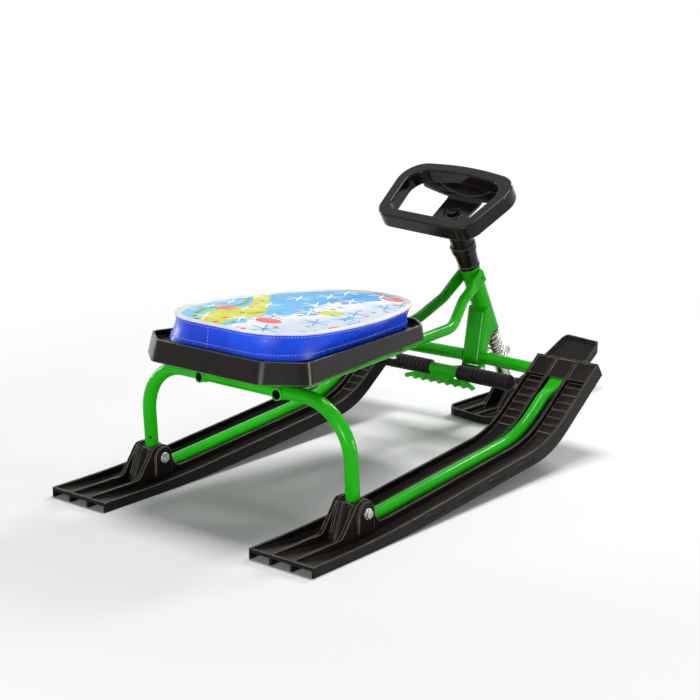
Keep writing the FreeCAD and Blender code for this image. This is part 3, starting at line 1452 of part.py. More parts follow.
def make_front_ski():
    """Moulded front ski with ears round the stem, turned with the column."""
    rim = [
        V(size.front_tail, size.front_rim_height, 0),
        V(size.front_bend, size.front_rim_height, 0),
        V(size.front_nose, size.front_nose_height, 0),
    ]
    radius = size.front_bend_radius
    tail_depth = size.front_rim_height - size.front_lift
    keel = offset_path(rim, -tail_depth)
    keel[-1] = nose_spot(rim, 0, size.front_nose_depth)
    turn_back = Placement(V(0, size.column_foot, 0), Rotation())
    straight = Placement(V(), Rotation(V(0, 0, 1), -size.steer_turn))
    unturn = COLUMN.multiply(straight).multiply(COLUMN.inverse())

    def slab(name, shape, middle, width):
        placement = unturn.multiply(Placement(V(middle, 0, 0), TO_SIDE))
        return prism(name, shape, placement, width)

    blank = slab("front_blank", band(keel, [radius + tail_depth], rim, [radius]), 0, "2 * sizes.front_half")
    nose_y = rim[-1].x + size.nose_lip
    right = [
        V(size.front_tail_half, size.front_tail, 0),
        V(size.front_half, (size.front_tail + size.front_bend) / 2, 0),
        V(size.front_half, size.front_bend, 0),
        V(size.front_nose_half, nose_y, 0),
    ]
    plan = right + [V(-p.x, p.y, 0) for p in reversed(right)]
    rounds = [24, 300, 120, size.front_nose_round]
    plan_loop = round_loop(plan, rounds + list(reversed(rounds)))
    floor = unturn.multiply(Placement(V(0, 0, -20), Rotation()))
    outline = prism("front_outline", plan_loop, floor, "400", False)
    shaped = common("front_shaped", blank, outline)

    wall = size.rim_wall
    channel = size.front_channel
    deck = trim_path(offset_path(rim, -channel), wall, wall)
    over = trim_path(offset_path(rim, 60), wall, wall)
    upper = band(deck, [radius + channel], over, [max(radius - 60, 5)])
    under_drop = channel + size.deck_thickness
    under = trim_path(offset_path(rim, -under_drop), wall, wall)
    below = trim_path(offset_path(rim, -80), wall, wall)
    lower = band(below, [radius + 80], under, [radius + under_drop])
    inner_plan = inset_loop(plan, wall)
    inner_rounds = [24 - wall, 300 - wall, 120 - wall, size.front_nose_round - wall]
    inner_loop = round_loop(inner_plan, inner_rounds + list(reversed(inner_rounds)))
    ear_in = size.stem_diameter / 2 + size.side_gap
    ear_out = ear_in + size.ear_wall
    rib_mid = (ear_in + ear_out) / 2
    rib_half = size.rib_wall / 2
    lanes = [
        (-(rib_mid + rib_half + size.front_half) / 2, size.front_half - rib_mid - rib_half),
        (0, 2 * (rib_mid - rib_half)),
        ((rib_mid + rib_half + size.front_half) / 2, size.front_half - rib_mid - rib_half),
    ]
    tools = []
    for number, (middle, width) in enumerate(lanes):
        for kind, shape in (("channel", upper), ("hollow", lower)):
            lane = slab("front_%s_lane%d" % (kind, number), shape, middle, "%f" % width)
            inside = prism("front_%s_inside%d" % (kind, number), inner_loop, floor, "400", False)
            tools.append(common("front_%s%d" % (kind, number), lane, inside))
    plain = polygon([
        nose_spot(rim, wall, channel * 0.65),
        nose_spot(rim, size.front_panel, channel * 0.65),
        nose_spot(rim, size.front_panel, -60),
        nose_spot(rim, wall, -60),
    ])
    nose_lane = slab("front_plain_lane", plain, 0, "2 * sizes.front_half")
    nose_inside = prism("front_plain_inside", inner_loop, floor, "400", False)
    tools.append(common("front_plain", nose_lane, nose_inside))
    shell = cut("front_shell", shaped, tools)
    filling = polygon([
        nose_spot(rim, 0.5 * wall, channel * 0.6),
        nose_spot(rim, size.front_panel, channel * 0.6),
        nose_spot(rim, size.front_panel, channel + 0.5),
        nose_spot(rim, 0.5 * wall, channel + 0.5),
    ])
    filling_lane = slab("front_filling_lane", filling, 0, "2 * sizes.front_half")
    filling_inside = prism("front_filling_inside",
                           round_loop(inset_loop(plan, wall / 2), rounds + list(reversed(rounds))),
                           floor, "400", False)
    panel = common("front_filling", filling_lane, filling_inside)

    pivot = COLUMN.multVec(V(0, 0, size.pivot))
    reach = size.ear_round
    base = size.front_rim_height - size.front_channel - 1
    ear_shape = round_loop(
        [
            V(pivot.y - 3.6 * reach, base, 0),
            V(pivot.y + 4.2 * reach, base, 0),
            V(pivot.y + 1.9 * reach, pivot.z + 0.9 * reach, 0),
            V(pivot.y + 0.2 * reach, pivot.z + 1.35 * reach, 0),
            V(pivot.y - 1.1 * reach, pivot.z + 0.6 * reach, 0),
        ],
        [1, 1, 9, 9, 9],
    )
    ears = [
        slab("front_ear%d" % number, ear_shape, sign * rib_mid, "sizes.ear_wall")
        for number, sign in enumerate((-1, 1))
    ]
    whole = join("front_whole", [shell, panel] + ears)
    across = STEER.Rotation.multVec(V(1, 0, 0))
    spot = STEER.multVec(V(0, 0, size.pivot))
    hole = rod("front_hole", spot - across * 60, across, "sizes.bolt_diameter / 2 + sizes.run_gap", "120")
    node(cut("front_ski", whole, [hole]), "front_ski")

    reach = ear_out + size.side_gap
    tail = reach + size.nut_height + 2
    shank = rod("front_bolt_shank", spot - across * tail, across, "sizes.bolt_diameter / 2",
                "%f" % (tail + reach + 1))
    head = hexagon("front_bolt_head", spot + across * reach, across, "sizes.bolt_head / 2",
                   "sizes.bolt_head_height")
    node(join("front_ski_bolt", [shank, head]), "front_ski_bolt")
    block = hexagon("front_nut_block", spot - across * (reach + size.nut_height), across,
                    "sizes.bolt_head / 2",
                    "sizes.nut_height")
    bore = rod("front_nut_bore", spot - across * 80, across, "sizes.bolt_diameter / 2 + sizes.weld_gap", "80")
    node(cut("front_ski_nut", block, [bore]), "front_ski_nut")


def make_brake():
    """Hinge pin, arm, footrest bar, grips and toothed plate of the foot brake."""
    hinge = V(0, size.hinge, size.hinge_height)
    bar = V(0, size.bar_along, size.bar_height)
    across = V(1, 0, 0)
    pin_half = size.post_half + 3
    pin = rod("hinge_pin_shank", hinge - across * pin_half, across, "sizes.pin_diameter / 2",
              "%f" % (2 * pin_half))
    cap = rod("hinge_pin_cap", hinge + across * (size.post_half + size.weld_gap), across,
              "sizes.pin_diameter / 2 + 2.5", "3")
    node(join("hinge_pin", [pin, cap]), "hinge_pin")

    inside = size.post_half - size.post_wall - size.side_gap
    barrel = rod("arm_barrel", hinge - across * inside, across, "sizes.barrel_diameter / 2",
                 "%f" % (2 * inside))
    way = (bar - hinge).normalize()
    square = V(0, -way.z, way.y)
    half = 4
    arm_shape = [
        hinge + square * half,
        bar + square * half,
        bar - square * half,
        hinge - square * half,
    ]
    strap = side_prism("arm_strap", polygon([V(p.y, p.z, 0) for p in arm_shape]), 0, "%f" % (2 * inside))
    hollow_shape = [
        hinge + way * size.barrel_diameter / 2 - square * (half - 2.5),
        bar - square * (half - 2.5),
        bar - square * (half + 5),
        hinge + way * size.barrel_diameter / 2 - square * (half + 5),
    ]
    hollow = side_prism("arm_hollow", polygon([V(p.y, p.z, 0) for p in hollow_shape]), 0,
                        "%f" % (2 * inside - 5))
    bore = rod("arm_bore", hinge - across * 40, across, "sizes.pin_diameter / 2 + sizes.run_gap", "80")
    seat = rod("arm_seat", bar - across * 40, across, "sizes.bar_diameter / 2 + sizes.weld_gap", "80")
    node(cut("brake_arm", join("arm_whole", [barrel, strap]), [bore, seat, hollow]), "brake_arm")

    skin = rod("bar_skin", bar - across * size.bar_half, across, "sizes.bar_diameter / 2",
               "2 * sizes.bar_half")
    core = rod("bar_core", bar - across * size.bar_half, across, "sizes.bar_diameter / 2 - sizes.tube_wall",
               "2 * sizes.bar_half")
    node(cut("footrest_bar", skin, [core]), "footrest_bar")

    rings = int(size.grip_rings)
    length = size.bar_half + size.grip_end - size.grip_start
    pitch = length / rings
    outer = size.grip_diameter / 2
    root = outer - size.grip_groove
    bore_r = size.bar_diameter / 2 + size.weld_gap
    profile = [(bore_r, 0)]
    for number in range(rings):
        start = number * pitch
        profile.append((root, start if number == 0 else start + pitch * 0.1))
        profile.append((outer, start + pitch * 0.3))
        profile.append((outer, start + pitch * 0.75))
        profile.append((root, start + pitch * 0.95))
    end = size.bar_half - size.grip_start + size.weld_gap
    profile += [(root - 1.5, length), (0, length), (0, end), (bore_r, end)]
    for name, side in SIDES.items():
        placement = Placement(bar + across * (side * size.grip_start), Rotation(V(0, 0, 1), across * side))
        node(turned(name + "_grip", profile, placement), name + "_grip")

    lean = math.radians(size.plate_lean)
    down = V(0, -math.sin(lean), -math.cos(lean))
    out = V(0, math.cos(lean), -math.sin(lean))
    top = bar + down * (size.bar_diameter / 2 - 1.5)
    frame = FreeCAD.Matrix(across.x, down.x, out.x, top.x, across.y, down.y, out.y, top.y,
                           across.z, down.z, out.z, top.z, 0, 0, 0, 1)
    plane = Placement(frame)
    wide = size.plate_half
    high = size.plate_height
    brow = size.grip_diameter / 2 + size.side_gap - size.bar_diameter / 2 + 2
    tongue = size.grip_start - 5
    outline = round_loop(
        [
            V(-tongue, 0, 0),
            V(tongue, 0, 0),
            V(tongue, brow, 0),
            V(wide - size.plate_slope, brow, 0),
            V(wide, high - 5, 0),
            V(wide - 5, high, 0),
            V(-wide + 5, high, 0),
            V(-wide, high - 5, 0),
            V(-wide + size.plate_slope, brow, 0),
            V(-tongue, brow, 0),
        ],
        [1, 1, 2, 6, 3, 2, 2, 3, 6, 2],
    )
    sheet_plate = prism("plate_sheet", outline, plane, "sizes.plate_thickness")
    ridges = []
    teeth = int(size.tooth_count)
    pitch = 2 * (wide - 8) / teeth
    for number in range(teeth - 1):
        x = (number - (teeth - 2) / 2) * pitch
        shape = polygon(
            [
                V(x - pitch * 0.14, brow + 2, 0),
                V(x + pitch * 0.14, brow + 2, 0),
                V(x + pitch * 0.2, high * 0.9, 0),
                V(x - pitch * 0.2, high * 0.9, 0),
            ]
        )
        ridges.append(prism("plate_ridge%d" % number, shape, plane, "sizes.plate_thickness + 3"))
    plate = join("plate_blank", [sheet_plate] + ridges)
    tools = [rod("plate_bar", bar - across * 100, across, "sizes.bar_diameter / 2 + sizes.weld_gap", "200")]
    for number in range(teeth):
        x = (number - (teeth - 1) / 2) * pitch
        radius = pitch * 0.5
        spot = plane.multVec(V(x, high + radius - size.tooth_depth, -20))
        tools.append(rod("plate_notch%d" % number, spot, out, "%f" % radius, "40"))
    node(cut("brake_plate", plate, tools), "brake_plate")


for side_name in SIDES:
    make_rear_ski(side_name)
    make_runner_tube(side_name)
    make_cross_tube(side_name)
    make_leg(side_name)
    make_rail(side_name)
make_crossbar()
make_head_tube()
make_post()
make_ski_fasteners()
make_tray()
make_tray_screws()
make_cushion()
make_column()
make_wheel()
make_front_ski()
make_brake()
doc.recompute()

os.makedirs("parts", exist_ok=True)
facets = 0
for item in nodes:
    shape = item.Shape
    if "Invalid" in item.State or "Error" in item.State or shape.isNull() or not shape.isValid():
        raise RuntimeError("piece is not sound: " + item.Label)
    count = len(shape.tessellate(0.3)[1])
    facets += count
    box = shape.BoundBox
    print("%-18s solids %d volume %9.0f facets %5d  x %.1f %.1f y %.1f %.1f z %.1f %.1f" % (
        item.Label, len(shape.Solids), shape.Volume, count, box.XMin, box.XMax, box.YMin, box.YMax,
        box.ZMin, box.ZMax))
    shape.exportStep("parts/%s.step" % item.Label)
print("pieces %d facets %d" % (len(nodes), facets))
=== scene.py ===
"""Looks of a steering sled: tube frame, plastic skis, padded seat, raked column and foot brake."""

import logging
import math
from dataclasses import dataclass
from enum import Enum
from typing import Callable, Iterable, Sequence

import bpy
from mathutils import Matrix, Vector


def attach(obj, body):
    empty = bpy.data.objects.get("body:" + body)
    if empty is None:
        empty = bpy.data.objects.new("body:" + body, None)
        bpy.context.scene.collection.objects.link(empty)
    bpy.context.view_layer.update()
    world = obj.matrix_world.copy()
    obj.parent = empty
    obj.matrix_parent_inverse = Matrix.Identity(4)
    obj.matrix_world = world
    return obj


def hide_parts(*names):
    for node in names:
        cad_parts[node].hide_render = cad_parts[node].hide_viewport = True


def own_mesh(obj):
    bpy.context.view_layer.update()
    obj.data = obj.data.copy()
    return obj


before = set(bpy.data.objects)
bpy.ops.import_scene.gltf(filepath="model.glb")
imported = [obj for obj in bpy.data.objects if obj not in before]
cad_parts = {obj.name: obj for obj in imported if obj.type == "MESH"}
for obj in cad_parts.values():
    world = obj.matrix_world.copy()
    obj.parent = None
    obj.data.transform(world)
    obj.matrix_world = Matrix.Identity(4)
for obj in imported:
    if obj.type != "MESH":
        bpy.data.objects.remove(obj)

LOG = logging.getLogger("sled")
TINY = 1e-9
STRAIGHT = 1e-7
UPRIGHT = 0.9

Rgb = tuple[float, float, float]
Span = tuple[float, float]
Socket = bpy.types.NodeSocket
Path = list[Vector]
Faces = list[tuple[int, ...]]


def shade(red: int, green: int, blue: int) -> Rgb:
    """Turn a colour written as 0 to 255 screen values into linear light.

    Args:
        red: Red screen value.
        green: Green screen value.
        blue: Blue screen value.

    Returns:
        The linear colour.
    """
    def straight(value: float) -> float:
        """One screen value, 0 to 1, as linear light."""
        return value / 12.92 if value <= 0.04045 else ((value + 0.055) / 1.055) ** 2.4

    return straight(red / 255), straight(green / 255), straight(blue / 255)


@dataclass(frozen=True)
class SteeringAxis:
    """Raked line that the column turns on."""

    rake: float = 27.8
    foot: float = 0.3092

    def way(self) -> Vector:
        """Direction of the axis, upwards."""
        lean = math.radians(self.rake)
        return Vector((0, -math.sin(lean), math.cos(lean)))

    def rear(self) -> Vector:
        """Direction square to the axis, to the rear."""
        lean = math.radians(self.rake)
        return Vector((0, -math.cos(lean), -math.sin(lean)))

    def at(self, along: float) -> Vector:
        """Point of the axis at a distance from the ground."""
        return Vector((0, self.foot, 0)) + self.way() * along


class Body(Enum):
    """Bodies of the frame that the made pieces ride on."""

    CHASSIS = "chassis"
    STEERING = "steering"


class Slot(Enum):
    """Material slots of the record."""

    ENAMEL = "green_enamel"
    CHROME = "chrome_wire"
    VINYL = "seat_vinyl"


class Graph:
    """A material's node tree, with short calls for the nodes that the finishes use."""

    def __init__(self, name: str) -> None:
        """Start a material with a single Principled shader."""
        self.material = bpy.data.materials.new(name)
        self.material.use_nodes = True
        self.tree = self.material.node_tree
        self.shader = self.tree.nodes["Principled BSDF"]

    def add(self, kind: str, **settings: object) -> bpy.types.Node:
        """Add a node.

        Args:
            kind: The node's type without its ShaderNode prefix.
            **settings: Properties to set on the node.

        Returns:
            The new node.
        """
        made = self.tree.nodes.new("ShaderNode" + kind)
        for key, value in settings.items():
            setattr(made, key, value)
        return made

    def feed(self, socket: Socket, value: object) -> None:
        """Link a socket, or set it where the value is a plain one."""
        if isinstance(value, bpy.types.NodeSocket):
            self.tree.links.new(value, socket)
        elif isinstance(value, tuple) and len(value) == 3 and socket.type == "RGBA":
            socket.default_value = (*value, 1.0)
        else:
            socket.default_value = value

    def shine(self, **values: object) -> None:
        """Set or link the shader's sockets; an underscore in a name stands for a space."""
        for key, value in values.items():
            self.feed(self.shader.inputs[key.replace("_", " ")], value)

    def place(self) -> Socket:
        """Position on the piece in its own axes, in metres."""
        return self.add("TexCoord").outputs["Object"]

    def maths(self, operation: str, first: object, second: object = 0.0, third: object = 0.0) -> Socket:
        """Result of a maths node.

        Args:
            operation: The node's operation.
            first: First value or socket.
            second: Second value or socket.
            third: Third value or socket.

        Returns:
            The value socket.
        """
        made = self.add("Math", operation=operation)
        for socket, value in zip(made.inputs, (first, second, third)):
            self.feed(socket, value)
        return made.outputs[0]

    def step(self, value: Socket, low: float, high: float, bottom: float = 0.0, top: float = 1.0) -> Socket:
        """Smooth change of a value between two marks.

        Args:
            value: The value that is read.
            low: Mark where the change starts.
            high: Mark where it ends.
            bottom: Result before the change.
            top: Result after it.

        Returns:
            The changed value.
        """
        made = self.add("MapRange", interpolation_type="SMOOTHSTEP")
        for socket, number in zip(made.inputs, (value, low, high, bottom, top)):
            self.feed(socket, number)
        return made.outputs[0]

    def mix(self, factor: object, first: object, second: object) -> Socket:
        """Blend of two colours by a factor."""
        made = self.add("Mix", data_type="RGBA")
        self.feed(made.inputs[0], factor)
        self.feed(made.inputs[6], first)
        self.feed(made.inputs[7], second)
        return made.outputs[2]

    def noise(self, at: Socket, scale: float, detail: float = 2.0, stretch: Rgb = (1.0, 1.0, 1.0)) -> Socket:
        """Soft noise over the piece.

        Args:
            at: Position that the noise is read at.
            scale: Lumps to the metre.
            detail: Finer layers.
            stretch: Scale along each axis.

        Returns:
            Noise from 0 to 1.
        """
        if stretch != (1.0, 1.0, 1.0):
            at = self.vector("MULTIPLY", at, stretch)
        made = self.add("TexNoise")
        self.feed(made.inputs["Vector"], at)
        self.feed(made.inputs["Scale"], scale)
        self.feed(made.inputs["Detail"], detail)
        return made.outputs["Fac"]

    def vector(self, operation: str, first: object, second: object) -> Socket:
        """Vector result of a vector maths node."""
        made = self.add("VectorMath", operation=operation)
        self.feed(made.inputs[0], first)
        self.feed(made.inputs[1], second)
        return made.outputs["Vector"]

    def cells(self, at: Socket, pitch: float, loose: float) -> bpy.types.Node:
        """Cells of a loose flat grid.

        Args:
            at: Position that the grid is read at.
            pitch: Size of a cell in metres.
            loose: How far the cells leave a square grid, from 0 to 1.

        Returns:
            The cells' node.
        """
        made = self.add("TexVoronoi", voronoi_dimensions="2D")
        self.feed(made.inputs["Vector"], at)
        self.feed(made.inputs["Scale"], 1.0 / pitch)
        self.feed(made.inputs["Randomness"], loose)
        return made

    def gloss(self, at: Socket, scale: float, rough: Span, detail: float = 3.0) -> Socket:
        """Roughness that drifts between two values over the piece.

        Args:
            at: Position that the drift is read at.
            scale: Patches to the metre.
            rough: Least and most roughness.
            detail: Finer layers.

        Returns:
            The roughness.
        """
        return self.step(self.noise(at, scale, detail), 0.3, 0.7, *rough)

    def axes(self, at: Socket) -> tuple[Socket, Socket, Socket]:
        """A position's three parts."""
        made = self.add("SeparateXYZ")
        self.feed(made.inputs[0], at)
        return made.outputs[0], made.outputs[1], made.outputs[2]

    def bump(
        self, height: Socket, depth: float, normal: Socket | None = None, strength: float = 1.0
    ) -> Socket:
        """Surface normal raised by a height.

        Args:
            height: Height from 0 to 1.
            depth: Depth in metres.
            normal: Normal that is raised, where it isn't the mesh's own.
            strength: Share of the effect.

        Returns:
            The new normal.
        """
        made = self.add("Bump")
        self.feed(made.inputs["Height"], height)
        self.feed(made.inputs["Distance"], depth)
        self.feed(made.inputs["Strength"], strength)
        if normal is not None:
            self.feed(made.inputs["Normal"], normal)
        return made.outputs[0]

    def edges(self, radius: float) -> tuple[Socket, Socket]:
        """Rounded normal and a mask of the sharp edges.

        Args:
            radius: Radius of the rounding in metres.

        Returns:
            The rounded normal, and a mask that is 1 along edges.
        """
        soft = self.add("Bevel", samples=4)
        self.feed(soft.inputs["Radius"], radius)
        flat = self.add("NewGeometry").outputs["Normal"]
        turn = self.add("VectorMath", operation="DOT_PRODUCT")
        self.feed(turn.inputs[0], soft.outputs[0])
        self.feed(turn.inputs[1], flat)
        return soft.outputs[0], self.step(turn.outputs["Value"], low=0.99, high=0.86)


@dataclass(frozen=True)
class Enamel:
    """Gloss enamel on steel tube."""

    name: str = "green_enamel_gloss"
    colour: Rgb = shade(30, 176, 10)
    deep: Rgb = shade(22, 154, 6)
    # Light green of the painted highlight along the edges.
    edge: Rgb = shade(150, 236, 132)
    # Dark green of the painted shade in open tube ends and tight hollows.
    painted_bore_shade: Rgb = shade(8, 34, 6)
    edge_radius: float = 0.0010
    edge_share: float = 0.6
    painted_shade_reach: float = 0.03

    def material(self) -> bpy.types.Material:
        """Green that pools darker in places, with a painted highlight along its edges, painted shade deep in
        open tube ends and tight hollows, and a fine orange peel.
        """
        graph = Graph(self.name)
        at = graph.place()
        normal, edge = graph.edges(self.edge_radius)
        pool = graph.step(graph.noise(at, scale=11.0, detail=2.0), low=0.35, high=0.75)
        colour = graph.mix(pool, self.colour, self.deep)
        # Painted highlight: edges are mixed towards the light green.
        colour = graph.mix(graph.maths("MULTIPLY", edge, self.edge_share), colour, self.edge)
        # Painted shade: the piece's own ambient occlusion darkens open tube ends and tight hollows towards
        # the dark green.
        hollow = graph.add("AmbientOcclusion", only_local=True, samples=6)
        graph.feed(hollow.inputs["Distance"], self.painted_shade_reach)
        colour = graph.mix(graph.step(hollow.outputs["AO"], low=0.62, high=0.34), colour, self.painted_bore_shade)
        peel = graph.noise(at, scale=420.0, detail=1.0)
        graph.shine(
            Base_Color=colour,
            Roughness=graph.gloss(at, scale=30.0, rough=(0.14, 0.22), detail=2.0),
            Specular_IOR_Level=0.08,
            Coat_Weight=0.12,
            Coat_Roughness=0.03,
            Normal=graph.bump(peel, depth=0.00005, normal=normal, strength=0.4),
        )
        return graph.material


@dataclass(frozen=True)
class MouldedPlastic:
    """Warm black moulded plastic with a painted highlight along its edges, but not on those below a rising
    line.
    """

    name: str
    colour: Rgb = shade(19, 15, 13)
    bloom: Rgb = shade(26, 21, 19)
    # Pale colour of the painted highlight along the edges.
    edge: Rgb = shade(186, 174, 156)
    edge_share: float = 0.6
    edge_radius: float = 0.0008
    rough: Span = (0.24, 0.36)
    mirror: float = 0.3
    drawn: Rgb = (1.0, 1.0, 1.0)
    plain_below: Rgb | None = None
    plain_fade: float = 0.001

    def material(self) -> bpy.types.Material:
        """Black with a faint bloom, fine grain, flow marks and a painted highlight along its edges."""
        graph = Graph(self.name)
        at = graph.place()
        normal, edge = graph.edges(self.edge_radius)
        bloom = graph.step(graph.noise(at, scale=7.0, detail=3.0, stretch=self.drawn), low=0.36, high=0.8)
        colour = graph.mix(bloom, self.colour, self.bloom)
        # Painted highlight along the edges, broken up by noise and left off below the rising line.
        highlight_breakup = graph.step(graph.noise(at, scale=40.0, detail=3.0), low=0.2, high=0.62, bottom=0.5)
        edge_highlight = graph.maths("MULTIPLY", graph.maths("MULTIPLY", edge, highlight_breakup), self.edge_share)
        if self.plain_below is not None:
            start, slope, rise = self.plain_below
            _, along, up = graph.axes(at)
            run = graph.maths("MAXIMUM", graph.maths("SUBTRACT", along, start), 0.0)
            above = graph.maths("SUBTRACT", up, graph.maths("MULTIPLY", run, slope))
            highlight_allowed = graph.step(above, rise - self.plain_fade, rise + self.plain_fade)
            edge_highlight = graph.maths("MULTIPLY", edge_highlight, highlight_allowed)
        colour = graph.mix(edge_highlight, colour, self.edge)
        flow = graph.noise(at, scale=34.0, detail=6.0, stretch=self.drawn)
        grain = graph.noise(at, scale=1500.0, detail=1.0)
        height = graph.maths("MULTIPLY_ADD", flow, 0.2, grain)
        graph.shine(
            Base_Color=colour,
            Roughness=graph.step(flow, 0.3, 0.72, *self.rough),
            Specular_IOR_Level=self.mirror,
            Normal=graph.bump(height, depth=0.00003, normal=normal, strength=0.5),
        )
        return graph.material


@dataclass(frozen=True)
class PlatedSteel:
    """Zinc or chrome plated steel."""

    name: str
    colour: Rgb
    dull: Rgb
    rough: Span
    # Near white of the painted highlight along the edges.
    edge: Rgb = (0.95, 0.95, 0.94)
    edge_radius: float = 0.0005
    edge_share: float = 0.4

    def material(self) -> bpy.types.Material:
        """Bright metal that dulls in patches, with fine draw lines and a painted highlight along its edges.
        """
        graph = Graph(self.name)
        at = graph.place()
        normal, edge = graph.edges(self.edge_radius)
        patch = graph.step(graph.noise(at, scale=70.0, detail=4.0), low=0.4, high=0.75)
        lines = graph.noise(at, scale=600.0, detail=2.0, stretch=(1.0, 1.0, 0.1))
        colour = graph.mix(patch, self.colour, self.dull)
        graph.shine(
            # Painted highlight: edges are mixed towards near white.
            Base_Color=graph.mix(graph.maths("MULTIPLY", edge, self.edge_share), colour, self.edge),
            Metallic=1.0,
            Roughness=graph.gloss(at, scale=130.0, rough=self.rough),
            Normal=graph.bump(lines, depth=0.00003, normal=normal, strength=0.5),
        )
        return graph.material


@dataclass(frozen=True)
class GripRubber:
    """Matt black rubber of the foot grips."""

    name: str = "foot_grip_rubber"
    colour: Rgb = shade(13, 11, 10)
    # Pale colour for random dust and for the painted highlight on the ring edges.
    dust_and_edge_highlight: Rgb = shade(30, 27, 25)
    edge_radius: float = 0.0008
    edge_share: float = 0.5

    def material(self) -> bpy.types.Material:
        """Rubber with random dust, a painted highlight on its ring edges and a fine grain."""
        graph = Graph(self.name)
        at = graph.place()
        normal, edge = graph.edges(self.edge_radius)
        dusty = graph.step(graph.noise(at, scale=45.0, detail=4.0), low=0.4, high=0.8)
        colour = graph.mix(dusty, self.colour, self.dust_and_edge_highlight)
        grain = graph.noise(at, scale=1800.0, detail=1.0)
        graph.shine(
            # Painted highlight: the ring edges are mixed towards the pale colour.
            Base_Color=graph.mix(graph.maths("MULTIPLY", edge, self.edge_share), colour, self.dust_and_edge_highlight),
            Roughness=graph.gloss(at, scale=90.0, rough=(0.42, 0.56)),
            Specular_IOR_Level=0.15,
            Normal=graph.bump(grain, depth=0.00006, normal=normal, strength=0.6),
        )
        return graph.material


@dataclass(frozen=True)
class SeatVinyl:
    """Soft vinyl with a fine leather grain."""

    name: str
    colour: Rgb
    # Darker tone of the painted shade in the creases.
    deep: Rgb
    rough: Span = (0.3, 0.44)
    mirror: float = 0.2
    crease_depth: float = 0.0014
    pores_to_metre: float = 620.0

    def material(self) -> bpy.types.Material:
        """Grained vinyl that creases a little, with painted shade in the creases."""
        graph = Graph(self.name)
        at = graph.place()
        crease = graph.noise(at, scale=18.0, detail=4.0, stretch=(1.0, 1.0, 0.35))
        pores = graph.add("TexVoronoi", feature="DISTANCE_TO_EDGE")
        graph.feed(pores.inputs["Vector"], at)
        graph.feed(pores.inputs["Scale"], self.pores_to_metre)
        grain = graph.step(pores.outputs["Distance"], low=0.0, high=0.16)
        soft = graph.bump(crease, depth=self.crease_depth, strength=0.35)
        graph.shine(
            # Painted shade: the colour runs to the darker tone in the creases' hollows.
            Base_Color=graph.mix(graph.step(crease, low=0.3, high=0.7), self.deep, self.colour),
            Roughness=graph.gloss(at, scale=55.0, rough=self.rough),
            Specular_IOR_Level=self.mirror,
            Normal=graph.bump(grain, depth=0.00008, normal=soft, strength=0.6),
        )
        return graph.material


